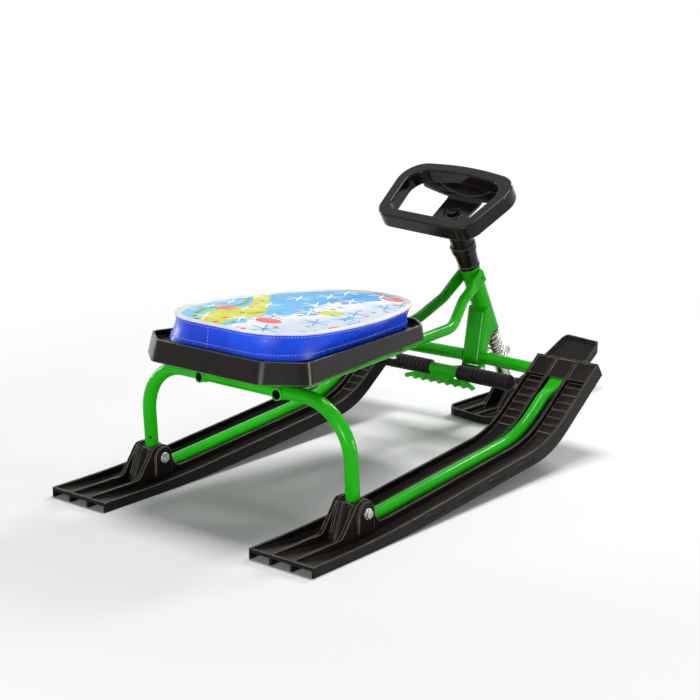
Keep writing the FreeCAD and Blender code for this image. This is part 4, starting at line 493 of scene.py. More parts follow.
@dataclass(frozen=True)
class PrintedTop:
    """Printed vinyl of the seat top: a plain winter sky with a snow bank, stars and round dots."""

    name: str = "printed_seat_top"
    sky: Rgb = shade(66, 160, 228)
    pale_sky: Rgb = shade(122, 200, 240)
    snow: Rgb = shade(244, 245, 248)
    snow_shade: Rgb = shade(206, 220, 236)
    lime: Rgb = shade(212, 214, 52)
    leaf: Rgb = shade(92, 170, 74)
    coral: Rgb = shade(238, 98, 82)
    bank_edge: float = 0.034
    bank_drift: float = 0.16
    print_edge: float = 0.003
    lime_band: Span = (-0.086, -0.040)
    leaf_band: Span = (-0.104, -0.092)
    star_pitch: float = 0.058
    star_reach: float = 0.025

    def band(self, graph: Graph, sweep: Socket, run: Span) -> Socket:
        """Mask of a printed band.

        Args:
            graph: The material's graph.
            sweep: Distance across the bands.
            run: Where the band starts and ends.

        Returns:
            A mask that is 1 in the band.
        """
        start, end = run
        rise = graph.step(sweep, start, start + self.print_edge)
        return graph.maths("MULTIPLY", rise, graph.step(sweep, end, end - self.print_edge))

    def dots(
        self, graph: Graph, at: Socket, pitch: float, reach: float, share: float
    ) -> tuple[Socket, Socket]:
        """Round dots, one to a cell of a loose grid.

        Args:
            graph: The material's graph.
            at: Position on the seat.
            pitch: Size of a cell in metres.
            reach: Radius of a dot in metres.
            share: Share of the cells that stay empty.

        Returns:
            A mask of the dots and a random number for each.
        """
        cells = graph.cells(at, pitch, loose=0.7)
        pick = graph.axes(cells.outputs["Color"])[0]
        inside = graph.step(cells.outputs["Distance"], reach / pitch, 0.9 * reach / pitch)
        return graph.maths("MULTIPLY", inside, graph.maths("GREATER_THAN", pick, share)), pick

    def stars(self, graph: Graph, at: Socket) -> Socket:
        """Six armed snow stars, one to a cell of a loose grid.

        Args:
            graph: The material's graph.
            at: Position on the seat.

        Returns:
            A mask of the stars.
        """
        cells = graph.cells(at, self.star_pitch, loose=0.6)
        across, along, _ = graph.axes(graph.vector("SUBTRACT", at, cells.outputs["Position"]))
        angle = graph.maths("ARCTAN2", along, across)
        arm = graph.maths("ABSOLUTE", graph.maths("COSINE", graph.maths("MULTIPLY", angle, 3.0)))
        length = graph.maths("MULTIPLY_ADD", graph.maths("POWER", arm, 14.0), 0.8, 0.2)
        reach = graph.maths("MULTIPLY", length, self.star_reach / self.star_pitch)
        far = graph.maths("DIVIDE", cells.outputs["Distance"], reach)
        return graph.step(far, low=1.0, high=0.86)

    def material(self) -> bpy.types.Material:
        """Sky, snow bank, lime bands, dots and stars under a soft gloss."""
        graph = Graph(self.name)
        at = graph.place()
        across, along, _ = graph.axes(at)
        fade = graph.step(along, low=-0.15, high=0.22)
        colour = graph.mix(fade, self.pale_sky, self.sky)
        phase = graph.maths("MULTIPLY_ADD", along, 34.0, graph.maths("MULTIPLY", across, 20.0))
        slant = graph.maths("MULTIPLY_ADD", along, 0.5, across)
        sweep = graph.maths("MULTIPLY_ADD", graph.maths("SINE", phase), 0.022, slant)
        colour = graph.mix(self.band(graph, sweep, self.lime_band), colour, self.lime)
        colour = graph.mix(self.band(graph, sweep, self.leaf_band), colour, self.leaf)
        drift = graph.maths("SUBTRACT", graph.noise(at, scale=15.0, detail=2.0), 0.5)
        bank = graph.maths("ADD", across, graph.maths("MULTIPLY", drift, self.bank_drift))
        snowy = graph.step(bank, self.bank_edge, self.bank_edge + self.print_edge)
        depth = graph.step(bank, self.bank_edge, self.bank_edge + 0.06)
        colour = graph.mix(snowy, colour, graph.mix(depth, self.snow, self.snow_shade))
        dots, pick = self.dots(graph, at, pitch=0.092, reach=0.019, share=0.45)
        dot_colour = graph.mix(graph.maths("GREATER_THAN", pick, 0.72), self.coral, self.lime)
        colour = graph.mix(dots, colour, dot_colour)
        specks, tint = self.dots(graph, at, pitch=0.027, reach=0.0042, share=0.4)
        speck_colour = graph.mix(graph.maths("GREATER_THAN", tint, 0.7), self.leaf, self.coral)
        colour = graph.mix(specks, colour, speck_colour)
        flakes = graph.mix(snowy, self.snow, self.sky)
        colour = graph.mix(self.stars(graph, at), colour, flakes)
        weave = graph.noise(at, scale=1400.0, detail=1.0)
        soft = graph.bump(graph.noise(at, scale=14.0, detail=3.0), depth=0.0012, strength=0.3)
        graph.shine(
            Base_Color=colour,
            Roughness=graph.gloss(at, scale=70.0, rough=(0.3, 0.42)),
            Specular_IOR_Level=0.1,
            Normal=graph.bump(weave, depth=0.00006, normal=soft, strength=0.5),
        )
        return graph.material


@dataclass(frozen=True)
class Thread:
    """Twisted sewing thread."""

    name: str = "seam_thread"
    colour: Rgb = shade(190, 206, 240)
    deep: Rgb = shade(120, 146, 214)

    def material(self) -> bpy.types.Material:
        """Thread with fine twist lines."""
        graph = Graph(self.name)
        twist = graph.noise(graph.place(), scale=2600.0, detail=1.0)
        graph.shine(
            Base_Color=graph.mix(twist, self.deep, self.colour),
            Roughness=0.6,
            Normal=graph.bump(twist, depth=0.0001),
        )
        return graph.material


def mesh_piece(
    name: str,
    points: Sequence[Vector],
    faces: Iterable[Sequence[int]],
    materials: Sequence[bpy.types.Material],
    picks: Sequence[int] | None = None,
    matrix: Matrix | None = None,
) -> bpy.types.Object:
    """Make a smooth mesh piece.

    Args:
        name: Name of the piece.
        points: Its points.
        faces: Its faces as runs of point numbers.
        materials: Its materials.
        picks: Material number of each face.
        matrix: Place of the piece's own axes.

    Returns:
        The new object.
    """
    mesh = bpy.data.meshes.new(name)
    mesh.from_pydata([tuple(p) for p in points], [], [tuple(f) for f in faces])
    for material in materials:
        mesh.materials.append(material)
    mesh.polygons.foreach_set("use_smooth", [True] * len(mesh.polygons))
    if picks is not None:
        mesh.polygons.foreach_set("material_index", list(picks))
    mesh.update()
    piece = bpy.data.objects.new(name, mesh)
    if matrix is not None:
        piece.matrix_world = matrix
    bpy.context.scene.collection.objects.link(piece)
    return piece


def settle(piece: bpy.types.Object, body: Body) -> bpy.types.Object:
    """Let a finished piece ride on its body."""
    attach(piece, body.value)
    LOG.info("piece %s rides on %s", piece.name, body.value)
    return piece


def dress(names: Iterable[str], material: bpy.types.Material) -> None:
    """Give CAD nodes a finish.

    Args:
        names: Names of the nodes.
        material: The finish.
    """
    for name in names:
        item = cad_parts[name]
        item.data.materials.clear()
        item.data.materials.append(material)
        LOG.info("node %s has finish %s", name, material.name)


def across_path(way: Vector) -> tuple[Vector, Vector]:
    """Two directions square to a path's direction."""
    helper = Vector((0, 0, 1)) if abs(way.z) < UPRIGHT else Vector((1, 0, 0))
    side = way.cross(helper).normalized()
    return side, side.cross(way).normalized()


def ring_faces(rings: int, sides: int, closed: bool = False, base: int = 0) -> Faces:
    """Faces between rings of points.

    Args:
        rings: Number of rings.
        sides: Points of a ring.
        closed: Whether the last ring joins the first; if not, each end has a cap.
        base: Number of the first point.

    Returns:
        The faces, the caps last.
    """
    faces: Faces = []
    for i in range(rings if closed else rings - 1):
        low, high = base + i * sides, base + (i + 1) % rings * sides
        for j in range(sides):
            beside = (j + 1) % sides
            faces.append((low + j, low + beside, high + beside, high + j))
    if not closed:
        last = base + (rings - 1) * sides
        faces.append(tuple(base + j for j in reversed(range(sides))))
        faces.append(tuple(last + j for j in range(sides)))
    return faces


def ripple(radius: float, share: float, pitch: float) -> Callable[[int], float]:
    """Radius that rises and falls a little from point to point of a bead."""
    return lambda i: radius * (1 + share * math.sin(i * pitch))


def bead(
    path: Path, radius: Callable[[int], float], sides: int = 8, closed: bool = True
) -> tuple[Path, Faces]:
    """Tube along a path.

    Args:
        path: Points of the path.
        radius: Radius at each point.
        sides: Points round the tube.
        closed: Whether the path's ends meet.

    Returns:
        The tube's points and faces.
    """
    points: Path = []
    count = len(path)
    middle = sum(path, Vector()) / count
    for i, spot in enumerate(path):
        ahead = path[(i + 1) % count] if closed else path[min(i + 1, count - 1)]
        behind = path[i - 1] if closed else path[max(i - 1, 0)]
        way = (ahead - behind).normalized()
        out = (spot - middle) - way * (spot - middle).dot(way)
        out = out.normalized() if out.length > STRAIGHT else across_path(way)[0]
        up = way.cross(out)
        for j in range(sides):
            turn = 2 * math.pi * j / sides
            points.append(spot + (out * math.cos(turn) + up * math.sin(turn)) * radius(i))
    return points, ring_faces(count, sides, closed)


def rounded_loop(corners: Sequence[Vector], radii: Sequence[float], count: int, steps: int = 24) -> Path:
    """Even points along a closed outline of straight runs and tangent arcs.

    Args:
        corners: Corners of the outline.
        radii: Radius at each corner.
        count: Number of points.
        steps: Fine steps round a corner.

    Returns:
        The points, the first at the middle of the run before the first corner.
    """
    fine: Path = []
    total = len(corners)
    for i, corner in enumerate(corners):
        back = (corners[i - 1] - corner).normalized()
        ahead = (corners[(i + 1) % total] - corner).normalized()
        half = math.acos(max(-1.0, min(1.0, back.dot(ahead)))) / 2
        reach = radii[i] / math.tan(half)
        middle = corner + (back + ahead).normalized() * (radii[i] / math.sin(half))
        first = corner + back * reach - middle
        last = corner + ahead * reach - middle
        for j in range(steps + 1):
            spoke = first.normalized().slerp(last.normalized(), j / steps)
            fine.append(middle + spoke * radii[i])
    start = (corners[-1] + corners[0]) / 2
    fine = [start, *fine, start]
    lengths = [0.0]
    for before, after in zip(fine, fine[1:]):
        lengths.append(lengths[-1] + (after - before).length)
    points: Path = []
    place = 0
    for i in range(count):
        goal = lengths[-1] * i / count
        while lengths[place + 1] < goal:
            place += 1
        share = (goal - lengths[place]) / max(lengths[place + 1] - lengths[place], TINY)
        points.append(fine[place].lerp(fine[place + 1], share))
    return points


@dataclass
class Seat:
    """Padded seat cushion with its piping and stitching, in the black tray."""

    middle: float = -0.2835
    height: float = 0.235
    pitch: float = 3.01
    foot: float = -0.0075
    seam: float = 0.032
    crown: float = 0.006
    waist_draw: float = 0.003
    waist_place: float = 0.8
    around: int = 144
    gusset_rows: int = 9
    top_rows: int = 16
    bottom_rows: int = 8
    border_rows: int = 2
    inmost: float = 0.97
    top_spread: float = 1.25
    crown_spread: float = 1.35
    spine: Span = (-0.06, 0.17)
    piping: float = 0.0021
    piping_ripple: float = 0.04
    piping_pitch: float = 2.1
    piping_sides: int = 12
    pressure: float = 4.0
    stretch_stiffness: float = 30.0
    bend_stiffness: float = 2.0
    cloth_frames: int = 20
    most_move: float = 0.004
    held_rows: int = 2
    ease_passes: int = 36
    ease_shares: Rgb = (0.4, 0.2, 0.1)
    stitch_pitch: float = 0.0046
    stitch_length: float = 0.0027
    thread_radius: float = 0.00058
    thread_sides: int = 6
    stitch_rows: Span = (7.85, 2.6)
    piping_out: float = 0.0004
    stitch_out: float = 0.0002
    seam_out: float = 0.0003
    top_corners: tuple[Span, ...] = ((0.1140, -0.1380), (0.1418, 0.0668), (0.0575, 0.2350))
    top_rounds: tuple[float, ...] = (0.083, 0.425, 0.089)
    foot_corners: tuple[Span, ...] = ((0.1090, -0.1420), (0.1250, -0.0780), (0.0650, 0.2330))
    foot_rounds: tuple[float, ...] = (0.060, 0.070, 0.060)
    seam_place: float = -0.0180
    vinyl: SeatVinyl = SeatVinyl(
        "blue_gusset_vinyl", shade(24, 84, 244), shade(14, 62, 212), rough=(0.24, 0.36), mirror=0.22
    )
    welt: SeatVinyl = SeatVinyl("white_welt_vinyl", shade(238, 238, 236), shade(222, 221, 216))
    print_top: PrintedTop = PrintedTop()
    thread: Thread = Thread()
    # Its edges get the painted highlight of the moulded plastic.
    tray: MouldedPlastic = MouldedPlastic(
        "tray_plastic", rough=(0.2, 0.3), mirror=0.16, edge_radius=0.0018
    )

    def matrix(self) -> Matrix:
        """Place of the seat's own axes."""
        turn = Matrix.Rotation(math.radians(-self.pitch), 4, "X")
        return Matrix.Translation((0, self.middle, self.height)) @ turn

    def outline(self, corners: Sequence[Span], rounds: Sequence[float]) -> Path:
        """Full outline from its right half.

        Args:
            corners: Corners on the right, from rear to front.
            rounds: Their radii.

        Returns:
            Points of the outline, from the middle of the rear.
        """
        right = [Vector((x, y, 0)) for x, y in corners]
        left = [Vector((-x, y, 0)) for x, y in reversed(corners)]
        return rounded_loop(right + left, list(rounds) + list(reversed(rounds)), self.around)

    def ring(self, loop: Path, inward: float, height: float) -> Path:
        """Outline moved inward by a share of the way to the seat's spine.

        Args:
            loop: The outline.
            inward: Share of the way in, from 0 to 1.
            height: Height of the ring.

        Returns:
            The ring's points.
        """
        rear, front = self.spine
        spine = [Vector((0, max(rear, min(front, p.y)), 0)) for p in loop]
        ring = [p.lerp(q, inward) for p, q in zip(loop, spine)]
        return [Vector((p.x, p.y, height)) for p in ring]

    def shrink(self, loop: Path, distance: float) -> Path:
        """Outline moved inward by a distance."""
        count = len(loop)
        moved: Path = []
        for i, spot in enumerate(loop):
            way = (loop[(i + 1) % count] - loop[i - 1]).normalized()
            moved.append(spot + Vector((-way.y, way.x, 0)) * distance)
        return moved

    def rings(self) -> list[Path]:
        """Rings of the cushion from the middle of its underside to the middle of its top."""
        top = self.outline(self.top_corners, self.top_rounds)
        foot = self.outline(self.foot_corners, self.foot_rounds)
        rings: list[Path] = []
        for row in range(self.bottom_rows, 0, -1):
            rings.append(self.ring(foot, self.inmost * row / self.bottom_rows, self.foot))
        for row in range(self.gusset_rows + 1):
            share = row / self.gusset_rows
            ease = share * share * (3 - 2 * share)
            loop = [p.lerp(q, ease) for p, q in zip(foot, top)]
            loop = self.shrink(loop, self.waist_draw * math.sin(math.pi * share ** self.waist_place))
            rise = self.foot + (self.seam - self.foot) * share
            rings.append([Vector((p.x, p.y, rise)) for p in loop])
        for row in range(1, self.top_rows + 1):
            share = (row / self.top_rows) ** self.top_spread
            lift = self.crown * math.sin(math.pi / 2 * min(1.0, share * self.crown_spread))
            rings.append(self.ring(top, self.inmost * share, self.seam + lift))
        return rings

    def cushion(self) -> bpy.types.Object:
        """Build the cushion, puff its cover and dress it."""
        rings = self.rings()
        points = [p for ring in rings for p in ring]
        faces = ring_faces(len(rings), self.around)
        gusset, border, printed = range(3)
        rows = [gusset] * (self.bottom_rows + self.gusset_rows) + [border] * self.border_rows
        rows += [printed] * (len(rings) - 1 - len(rows))
        picks = [finish for finish in rows for _ in range(self.around)] + [gusset, printed]
        finishes = [self.vinyl.material(), self.welt.material(), self.print_top.material()]
        piece = mesh_piece("seat_cushion_cover", points, faces, finishes, picks, self.matrix())
        self.puff(piece, points)
        return piece

    def puff(self, piece: bpy.types.Object, rest: Path) -> None:
        """Blow the cover up as cloth, held at its seam and foot.

        Args:
            piece: The cushion.
            rest: Its points before.
        """
        held = piece.vertex_groups.new(name="held")
        seam_row = self.bottom_rows + self.gusset_rows
        for row, weight in ((seam_row, 1.0), (seam_row - 1, 0.8), (seam_row + 1, 0.5)):
            held.add([row * self.around + i for i in range(self.around)], weight, "ADD")
        held.add(list(range((self.bottom_rows + self.held_rows) * self.around)), 1.0, "ADD")
        cloth = piece.modifiers.new("cover", "CLOTH")
        cloth.settings.use_pressure = True
        cloth.settings.uniform_pressure_force = self.pressure
        cloth.settings.effector_weights.gravity = 0.0
        cloth.settings.vertex_group_mass = held.name
        cloth.settings.tension_stiffness = self.stretch_stiffness
        cloth.settings.compression_stiffness = self.stretch_stiffness
        cloth.settings.bending_stiffness = self.bend_stiffness
        scene = bpy.context.scene
        for moment in range(1, self.cloth_frames + 1):
            scene.frame_set(moment)
        graph = bpy.context.evaluated_depsgraph_get()
        blown = [v.co.copy() for v in piece.evaluated_get(graph).data.vertices]
        piece.modifiers.remove(cloth)
        piece.vertex_groups.clear()
        scene.frame_set(1)
        moves = self.eased([end - start for start, end in zip(rest, blown)])
        for vertex, start, move in zip(piece.data.vertices, rest, moves):
            far = move.length
            vertex.co = start + move * (min(far, self.most_move) / far if far > TINY else 0.0)
        most = max((vertex.co - start).length for vertex, start in zip(piece.data.vertices, rest))
        LOG.info("cover moved by %.1f mm at most", 1000 * most)

    def eased(self, moves: Path) -> Path:
        """Even out the cover's moves over neighbours, as a taut cover lies without crumples.

        Args:
            moves: Move of each point of the cover.

        Returns:
            The evened moves.
        """
        count = self.around
        rows = len(moves) // count
        own, beside, across = self.ease_shares
        for _ in range(self.ease_passes):
            before = moves
            moves = []
            for place, move in enumerate(before):
                row, i = divmod(place, count)
                ring = before[row * count + (i - 1) % count] + before[row * count + (i + 1) % count]
                below = before[max(row - 1, 0) * count + i]
                above = before[min(row + 1, rows - 1) * count + i]
                moves.append(move * own + ring * beside + (below + above) * across)
        return moves

    def row_path(self, piece: bpy.types.Object, row: float, out: float) -> Path:
        """Path round the gusset at a row of the cushion.

        Args:
            piece: The cushion.
            row: Row of the gusset, which may lie between two.
            out: Distance outside the cover.

        Returns:
            Points in the seat's own axes.
        """
        low = self.bottom_rows + int(row)
        high = min(low + 1, self.bottom_rows + self.gusset_rows)
        share = row - int(row)
        places = [vertex.co for vertex in piece.data.vertices]
        count = self.around
        path = [places[low * count + i].lerp(places[high * count + i], share) for i in range(count)]
        return self.shrink(path, -out)

    def stitches(self, name: str, runs: Sequence[Path]) -> bpy.types.Object:
        """Rows of short stitches along paths.

        Args:
            name: Name of the piece.
            runs: Paths of the rows, in the seat's own axes.

        Returns:
            One piece with every stitch.
        """
        points: Path = []
        faces: Faces = []
        for run in runs:
            walked = 0.0
            due = self.stitch_pitch / 2
            for start, end in zip(run, run[1:]):
                gap = (end - start).length
                while due <= walked + gap and gap > TINY:
                    way = (end - start).normalized()
                    self.stitch(points, faces, start + way * (due - walked), way * self.stitch_length / 2)
                    due += self.stitch_pitch
                walked += gap
        return mesh_piece(name, points, faces, [self.thread.material()], None, self.matrix())

    def stitch(self, points: Path, faces: Faces, spot: Vector, half: Vector) -> None:
        """Add one stitch, thick in its middle and thin where it goes into the cover.

        Args:
            points: Points so far.
            faces: Faces so far.
            spot: Middle of the stitch.
            half: Half its length, as a direction.
        """
        side, up = across_path(half.normalized())
        sides = self.thread_sides
        base = len(points)
        swells = ((-1.0, 0.35), (-0.4, 1.0), (0.4, 1.0), (1.0, 0.35))
        for share, swell in swells:
            for turn in range(sides):
                angle = 2 * math.pi * turn / sides
                spoke = side * math.cos(angle) + up * math.sin(angle)
                points.append(spot + half * share + spoke * self.thread_radius * swell)
        faces += ring_faces(len(swells), sides, base=base)

    def build(self) -> None:
        """Build the cushion, its piping and stitching, and dress the tray."""
        cushion = self.cushion()
        welt_path = self.row_path(cushion, self.gusset_rows, self.piping_out)
        radius = ripple(self.piping, self.piping_ripple, self.piping_pitch)
        tube, faces = bead(welt_path, radius, self.piping_sides)
        piping = mesh_piece("seat_piping", tube, faces, [self.welt.material()], None, self.matrix())
        rows = [self.row_path(cushion, row, self.stitch_out) for row in self.stitch_rows]
        runs = [row + row[:1] for row in rows]
        sewing = self.stitches("seat_stitching", [*runs, self.upright_seam(cushion)])
        smooth = cushion.modifiers.new("smooth", "SUBSURF")
        smooth.levels = 1
        smooth.render_levels = 1
        settle(cushion, Body.CHASSIS)
        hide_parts("seat_cushion")
        settle(piping, Body.CHASSIS)
        settle(sewing, Body.CHASSIS)
        dress(("seat_tray",), self.tray.material())

    def upright_seam(self, cushion: bpy.types.Object) -> Path:
        """Path of the seam that joins the gusset's ends at the rear.

        Args:
            cushion: The cushion.

        Returns:
            Points from foot to piping.
        """
        foot = self.rings()[self.bottom_rows]
        behind = [i for i, spot in enumerate(foot) if spot.y <= 0]
        seam = min(behind, key=lambda i: abs(foot[i].x - self.seam_place))
        path: Path = []
        for row in range(1, self.gusset_rows):
            spot = cushion.data.vertices[(self.bottom_rows + row) * self.around + seam].co
            path.append(spot + Vector((0, -self.seam_out, 0)))
        return path


@dataclass
class TubeFrame:
    """Welded green tube frame with its weld beads."""

    tubes: tuple[str, ...] = (
        "left_cross_tube", "right_cross_tube", "left_leg", "right_leg", "left_rail", "right_rail",
        "seat_crossbar", "head_tube", "down_post", "left_runner_tube", "right_runner_tube",
    )
    enamel: Enamel = Enamel()
    column: SteeringAxis = SteeringAxis()
    rail_rear: Rgb = (0.0726, -0.3807, 0.1815)
    rail_bend: Rgb = (0.0365, 0.075, 0.186)
    rail_radius: float = 0.0085
    leg_radius: float = 0.010
    leg_top: Span = (-0.3685, 0.184)
    cross_post: Span = (0.1885, 0.1115)
    cross_radius: float = 0.010
    post_half: float = 0.01825
    post_top: float = 0.214
    crook_depth: float = 0.00835
    crook_rise: float = 0.00925
    crook_front: float = 1.108
    crook_rear: float = 0.32
    head_radius: float = 0.016
    head_wrap: float = 82.0
    weld: float = 0.0016
    weld_ripple: float = 0.2
    ripple_pitch: float = 1.9
    weld_sides: int = 8
    weld_out: float = 0.0004
    post_weld_out: float = 0.0006
    head_weld_out: float = 0.0002
    around: int = 40

    def rail_at(self, along: float) -> Vector:
        """Middle of the right rail's straight run at a place along the sled."""
        start, end = Vector(self.rail_rear), Vector(self.rail_bend)
        return start.lerp(end, (along - start.y) / (end.y - start.y))

    def rail_weld(self, side: int, outward: int) -> Path:
        """Weld where the leg or the crossbar meets a rail.

        Args:
            side: 1 for the right rail, -1 for the left.
            outward: 1 for the leg, -1 for the crossbar.

        Returns:
            Points of the closed weld.
        """
        path: Path = []
        for i in range(self.around):
            turn = 2 * math.pi * i / self.around
            y = self.leg_top[0] + (self.leg_radius + self.weld_out) * math.cos(turn)
            z = self.leg_top[1] + (self.leg_radius + self.weld_out) * math.sin(turn)
            rail = self.rail_at(y)
            reach = math.sqrt(max(self.rail_radius ** 2 - (z - rail.z) ** 2, 0.0))
            path.append(Vector((side * (rail.x + outward * (reach + self.weld_out)), y, z)))
        return path

    def post_weld(self, side: int) -> Path:
        """Weld of a cross tube on the post's side."""
        path: Path = []
        for i in range(self.around):
            turn = 2 * math.pi * i / self.around
            y = self.cross_post[0] + (self.cross_radius + self.weld_out) * math.cos(turn)
            z = self.cross_post[1] + (self.cross_radius + self.weld_out) * math.sin(turn)
            path.append(Vector((side * (self.post_half + self.post_weld_out), y, z)))
        return path

    def head_weld(self) -> Path:
        """Weld over the head tube's rear half, where the post's top ends on it."""
        path: Path = []
        for i in range(self.around):
            turn = math.radians(self.head_wrap) * (2 * i / (self.around - 1) - 1)
            depth = self.head_radius * math.cos(turn)
            rise = self.crook_front * depth
            if depth >= self.crook_depth:
                rise = self.crook_rise - self.crook_rear * (depth - self.crook_depth)
            spoke = self.column.rear() * math.cos(turn) + Vector((math.sin(turn), 0, 0))
            middle = self.column.at(self.post_top + rise)
            path.append(middle + spoke * (self.head_radius + self.head_weld_out))
        return path

    def welds(self, material: bpy.types.Material) -> None:
        """Add the weld beads of the frame.

        Args:
            material: Finish of the frame.
        """
        points: Path = []
        faces: Faces = []
        runs = [(self.rail_weld(side, outward), True) for side in (-1, 1) for outward in (-1, 1)]
        runs += [(self.post_weld(side), True) for side in (-1, 1)]
        runs.append((self.head_weld(), False))
        radius = ripple(self.weld, self.weld_ripple, self.ripple_pitch)
        for run, closed in runs:
            tube, skin = bead(run, radius, self.weld_sides, closed)
            base = len(points)
            points += tube
            faces += [tuple(base + i for i in face) for face in skin]
        settle(mesh_piece("frame_welds", points, faces, [material]), Body.CHASSIS)

    def build(self) -> None:
        """Dress the tubes and add their welds."""
        material = self.enamel.material()
        dress(self.tubes, material)
        self.welds(material)


@dataclass
class Skis:
    """The three plastic skis and their fasteners."""

    keel: Rgb = (-0.3235, 0.0751, 0.0135)
    # Pale colour of the painted highlight along the ski edges.
    edge: Rgb = shade(204, 194, 178)
    fasteners: tuple[str, ...] = ("ski_bolts", "ski_nuts", "tray_screws", "front_ski_bolt", "front_ski_nut")
    zinc: PlatedSteel = PlatedSteel(
        "zinc_plate", shade(218, 220, 222), shade(182, 184, 184), rough=(0.2, 0.36)
    )

    def plastic(self, name: str, plain_below: Rgb | None) -> MouldedPlastic:
        """Ski plastic with flow marks along the ski and a painted highlight along its edges.

        Args:
            name: Name of the finish.
            plain_below: Start, slope and rise of a line below which edges get no painted highlight.

        Returns:
            The finish.
        """
        return MouldedPlastic(
            name,
            edge=self.edge,
            edge_share=0.8,
            edge_radius=0.0012,
            rough=(0.3, 0.44),
            mirror=0.1,
            drawn=(1.0, 0.12, 1.0),
            plain_below=plain_below,
        )

    def build(self) -> None:
        """Dress the skis and what holds them."""
        dress(("left_ski", "right_ski"), self.plastic("rear_ski_plastic", self.keel).material())
        dress(("front_ski",), self.plastic("front_ski_plastic", None).material())
        dress(self.fasteners, self.zinc.material())


@dataclass
class Column:
    """Raked steering column: wheel, sleeve, shaft, sprung stem."""

    line: SteeringAxis = SteeringAxis()
    spring_low: float = 0.1219
    spring_high: float = 0.1695
    travel: float = 0.020
    mouldings: tuple[str, ...] = ("steering_wheel", "wheel_bolt", "column_sleeve", "upper_bush", "lower_bush")
    # Its edges get the painted highlight of the moulded plastic.
    plastic: MouldedPlastic = MouldedPlastic(
        "wheel_plastic", rough=(0.1, 0.18), mirror=0.2, edge_share=0.5, edge_radius=0.0012
    )
    zinc: PlatedSteel = PlatedSteel(
        "zinc_stem", shade(186, 186, 182), shade(146, 144, 138), rough=(0.22, 0.4)
    )
    chrome: PlatedSteel = PlatedSteel(
        "bright_wire", shade(196, 194, 190), shade(146, 142, 136), rough=(0.1, 0.22)
    )

    def spring(self) -> bpy.types.Object:
        """Copy of the spring's coil as a piece of its own, in bright wire."""
        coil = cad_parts["spring"].data.copy()
        coil.materials.clear()
        coil.materials.append(self.chrome.material())
        piece = bpy.data.objects.new("stem_spring_coil", coil)
        bpy.context.scene.collection.objects.link(piece)
        return piece

    def build(self) -> None:
        """Dress the column and swap the spring for its own copy of the coil, riding on the steering."""
        dress(self.mouldings, self.plastic.material())
        dress(("lower_stem", "spring_seat", "stem_tab", "steering_shaft"), self.zinc.material())
        coil = self.spring()
        settle(coil, Body.STEERING)
        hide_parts("spring")
        top = self.line.at(self.spring_high)
        tuple(self.line.way())
        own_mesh(coil)


@dataclass
class FootBrake:
    """Hinged footrest bar with rubber grips and a toothed brake plate."""

    enamel: Enamel = Enamel("brake_enamel_gloss")
    rubber: GripRubber = GripRubber()
    zinc: PlatedSteel = PlatedSteel(
        "hinge_zinc", shade(206, 206, 202), shade(170, 168, 162), rough=(0.24, 0.4)
    )

    def build(self) -> None:
        """Dress the brake."""
        dress(("brake_arm", "footrest_bar", "brake_plate"), self.enamel.material())
        dress(("left_grip", "right_grip"), self.rubber.material())
        dress(("hinge_pin",), self.zinc.material())


@dataclass(frozen=True)
class SoftBox:
    """A rectangular lamp: where it stands, what it points at, its size in metres and its power in watts."""

    name: str
    place: Rgb
    aim: Rgb
    size: Span
    power: float

    def build(self) -> None:
        """Add the lamp."""
        data = bpy.data.lights.new(self.name, "AREA")
        data.shape = "RECTANGLE"
        data.size, data.size_y = self.size
        data.energy = self.power
        item = bpy.data.objects.new(self.name, data)
        look = (Vector(self.aim) - Vector(self.place)).to_track_quat("-Z", "Y")
        item.matrix_world = Matrix.Translation(self.place) @ look.to_matrix().to_4x4()
        bpy.context.scene.collection.objects.link(item)


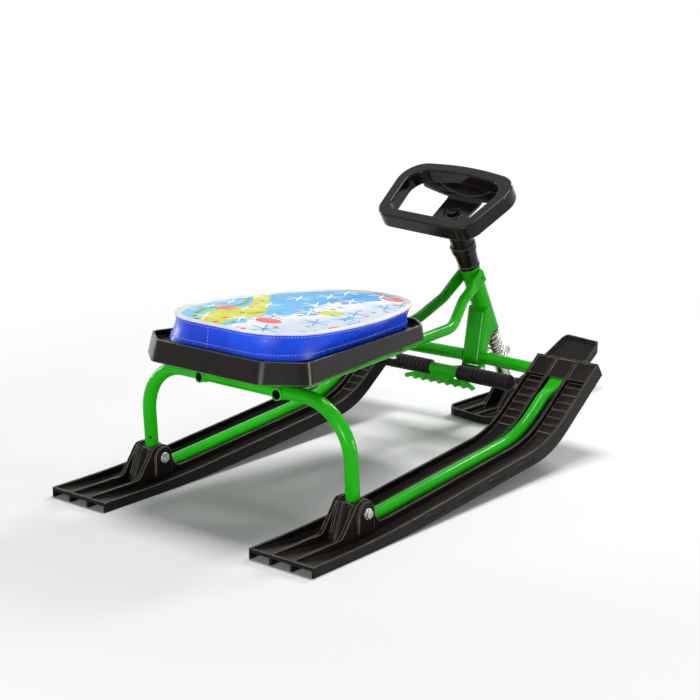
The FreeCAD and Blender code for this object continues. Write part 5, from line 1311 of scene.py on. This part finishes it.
@dataclass
class Studio:
    """Camera, lamps, white sweep and pale floor."""

    camera_place: Rgb = (1.5204, -1.9959, 0.7910)
    turn: float = 39.236
    tilt: float = 14.165
    roll: float = 0.135
    lens: float = 85.81
    sensor: float = 36.0
    far_clip: float = 400.0
    dim: float = 0.1
    floor_half: float = 60.0
    floor_drop: float = 0.0005
    floor_tones: tuple[Rgb, Rgb] = ((0.93, 0.93, 0.93), (0.95, 0.95, 0.95))
    shadow_end: Span = (0.55, 1.25)
    boxes: tuple[SoftBox, ...] = (
        SoftBox("overhead_box", (0.0, 0.2, 2.6), (0.0, -0.1, 0.1), (0.9, 0.9), 42.0),
        SoftBox("front_box", (0.1, 2.0, 1.9), (0.0, -0.1, 0.15), (0.45, 0.6), 24.0),
        SoftBox("right_box", (2.4, 1.0, 0.5), (0.0, 0.0, 0.2), (0.3, 0.7), 24.0),
        SoftBox("left_box", (-2.4, -0.4, 0.5), (0.0, -0.1, 0.2), (0.3, 0.7), 14.0),
        SoftBox("rear_box", (1.0, -3.3, 0.5), (0.0, -0.1, 0.2), (1.2, 0.6), 60.0),
    )

    def camera(self) -> None:
        """Set the camera at the viewing angle of the picture."""
        turn, tilt = math.radians(self.turn), math.radians(self.tilt)
        ahead = Vector((-math.sin(turn) * math.cos(tilt), math.cos(turn) * math.cos(tilt), -math.sin(tilt)))
        data = bpy.data.cameras.new("camera")
        data.lens = self.lens
        data.sensor_width = self.sensor
        data.clip_end = self.far_clip
        item = bpy.data.objects.new("camera", data)
        level = ahead.to_track_quat("-Z", "Y").to_matrix().to_4x4()
        roll = Matrix.Rotation(math.radians(self.roll), 4, "Z")
        item.matrix_world = Matrix.Translation(self.camera_place) @ level @ roll
        bpy.context.scene.collection.objects.link(item)
        bpy.context.scene.camera = item

    def seen(self, tree: bpy.types.NodeTree) -> Socket:
        """Whether a ray comes from the camera, a reflection or through glass.

        Args:
            tree: Node tree of the floor or the world.

        Returns:
            1 for such a ray, 0 for the others.
        """
        rays = tree.nodes.new("ShaderNodeLightPath")
        seen = rays.outputs["Is Camera Ray"]
        for kind in ("Is Glossy Ray", "Is Transmission Ray"):
            either = tree.nodes.new("ShaderNodeMath")
            either.operation = "MAXIMUM"
            tree.links.new(seen, either.inputs[0])
            tree.links.new(rays.outputs[kind], either.inputs[1])
            seen = either.outputs[0]
        return seen

    def world(self) -> None:
        """White to the camera and in reflections, a dim even light elsewhere."""
        world = bpy.data.worlds.new("studio_white")
        world.use_nodes = True
        tree = world.node_tree
        back = tree.nodes["Background"]
        level = tree.nodes.new("ShaderNodeMapRange")
        tree.links.new(self.seen(tree), level.inputs[0])
        level.inputs["To Min"].default_value = self.dim
        level.inputs["To Max"].default_value = 1.0
        tree.links.new(level.outputs[0], back.inputs["Strength"])
        back.inputs["Color"].default_value = (1.0, 1.0, 1.0, 1.0)
        bpy.context.scene.world = world

    def floor(self) -> None:
        """Pale floor that keeps the shadow near the sled and turns white away from it."""
        half = self.floor_half
        sides = ((-half, -half), (half, -half), (half, half), (-half, half))
        outline = [Vector((x, y, -self.floor_drop)) for x, y in sides]
        graph = Graph("pale_floor")
        at = graph.place()
        far = graph.add("VectorMath", operation="LENGTH")
        graph.feed(far.inputs[0], at)
        away = graph.step(far.outputs["Value"], *self.shadow_end)
        tone = graph.noise(at, scale=3.0, detail=3.0)
        graph.shine(
            Base_Color=graph.mix(tone, *self.floor_tones),
            Roughness=0.7,
            Specular_IOR_Level=0.1,
        )
        white = graph.add("Emission")
        blend = graph.add("MixShader")
        graph.feed(blend.inputs[0], graph.maths("MULTIPLY", self.seen(graph.tree), away))
        graph.feed(blend.inputs[1], graph.shader.outputs[0])
        graph.feed(blend.inputs[2], white.outputs[0])
        graph.feed(graph.tree.nodes["Material Output"].inputs["Surface"], blend.outputs[0])
        plane = mesh_piece("studio_floor", outline, [(0, 1, 2, 3)], [graph.material])

    def build(self) -> None:
        """Set up the studio."""
        bpy.context.scene.view_settings.view_transform = "Standard"
        self.camera()
        for box in self.boxes:
            box.build()
        self.world()
        self.floor()


def corners(box: tuple[Vector, Vector]) -> list[list[float]]:
    """A box's two corners as plain numbers."""
    return [[float(value) for value in corner] for corner in box]


def main() -> None:
    """Build the sled's looks in order."""
    logging.basicConfig(level=logging.INFO, format="%(name)s: %(message)s")
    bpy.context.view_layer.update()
    for part in (TubeFrame(), Skis(), Column(), FootBrake(), Seat(), Studio()):
        LOG.info("building %s", type(part).__name__)
        part.build()


if __name__ == "__main__":
    main()
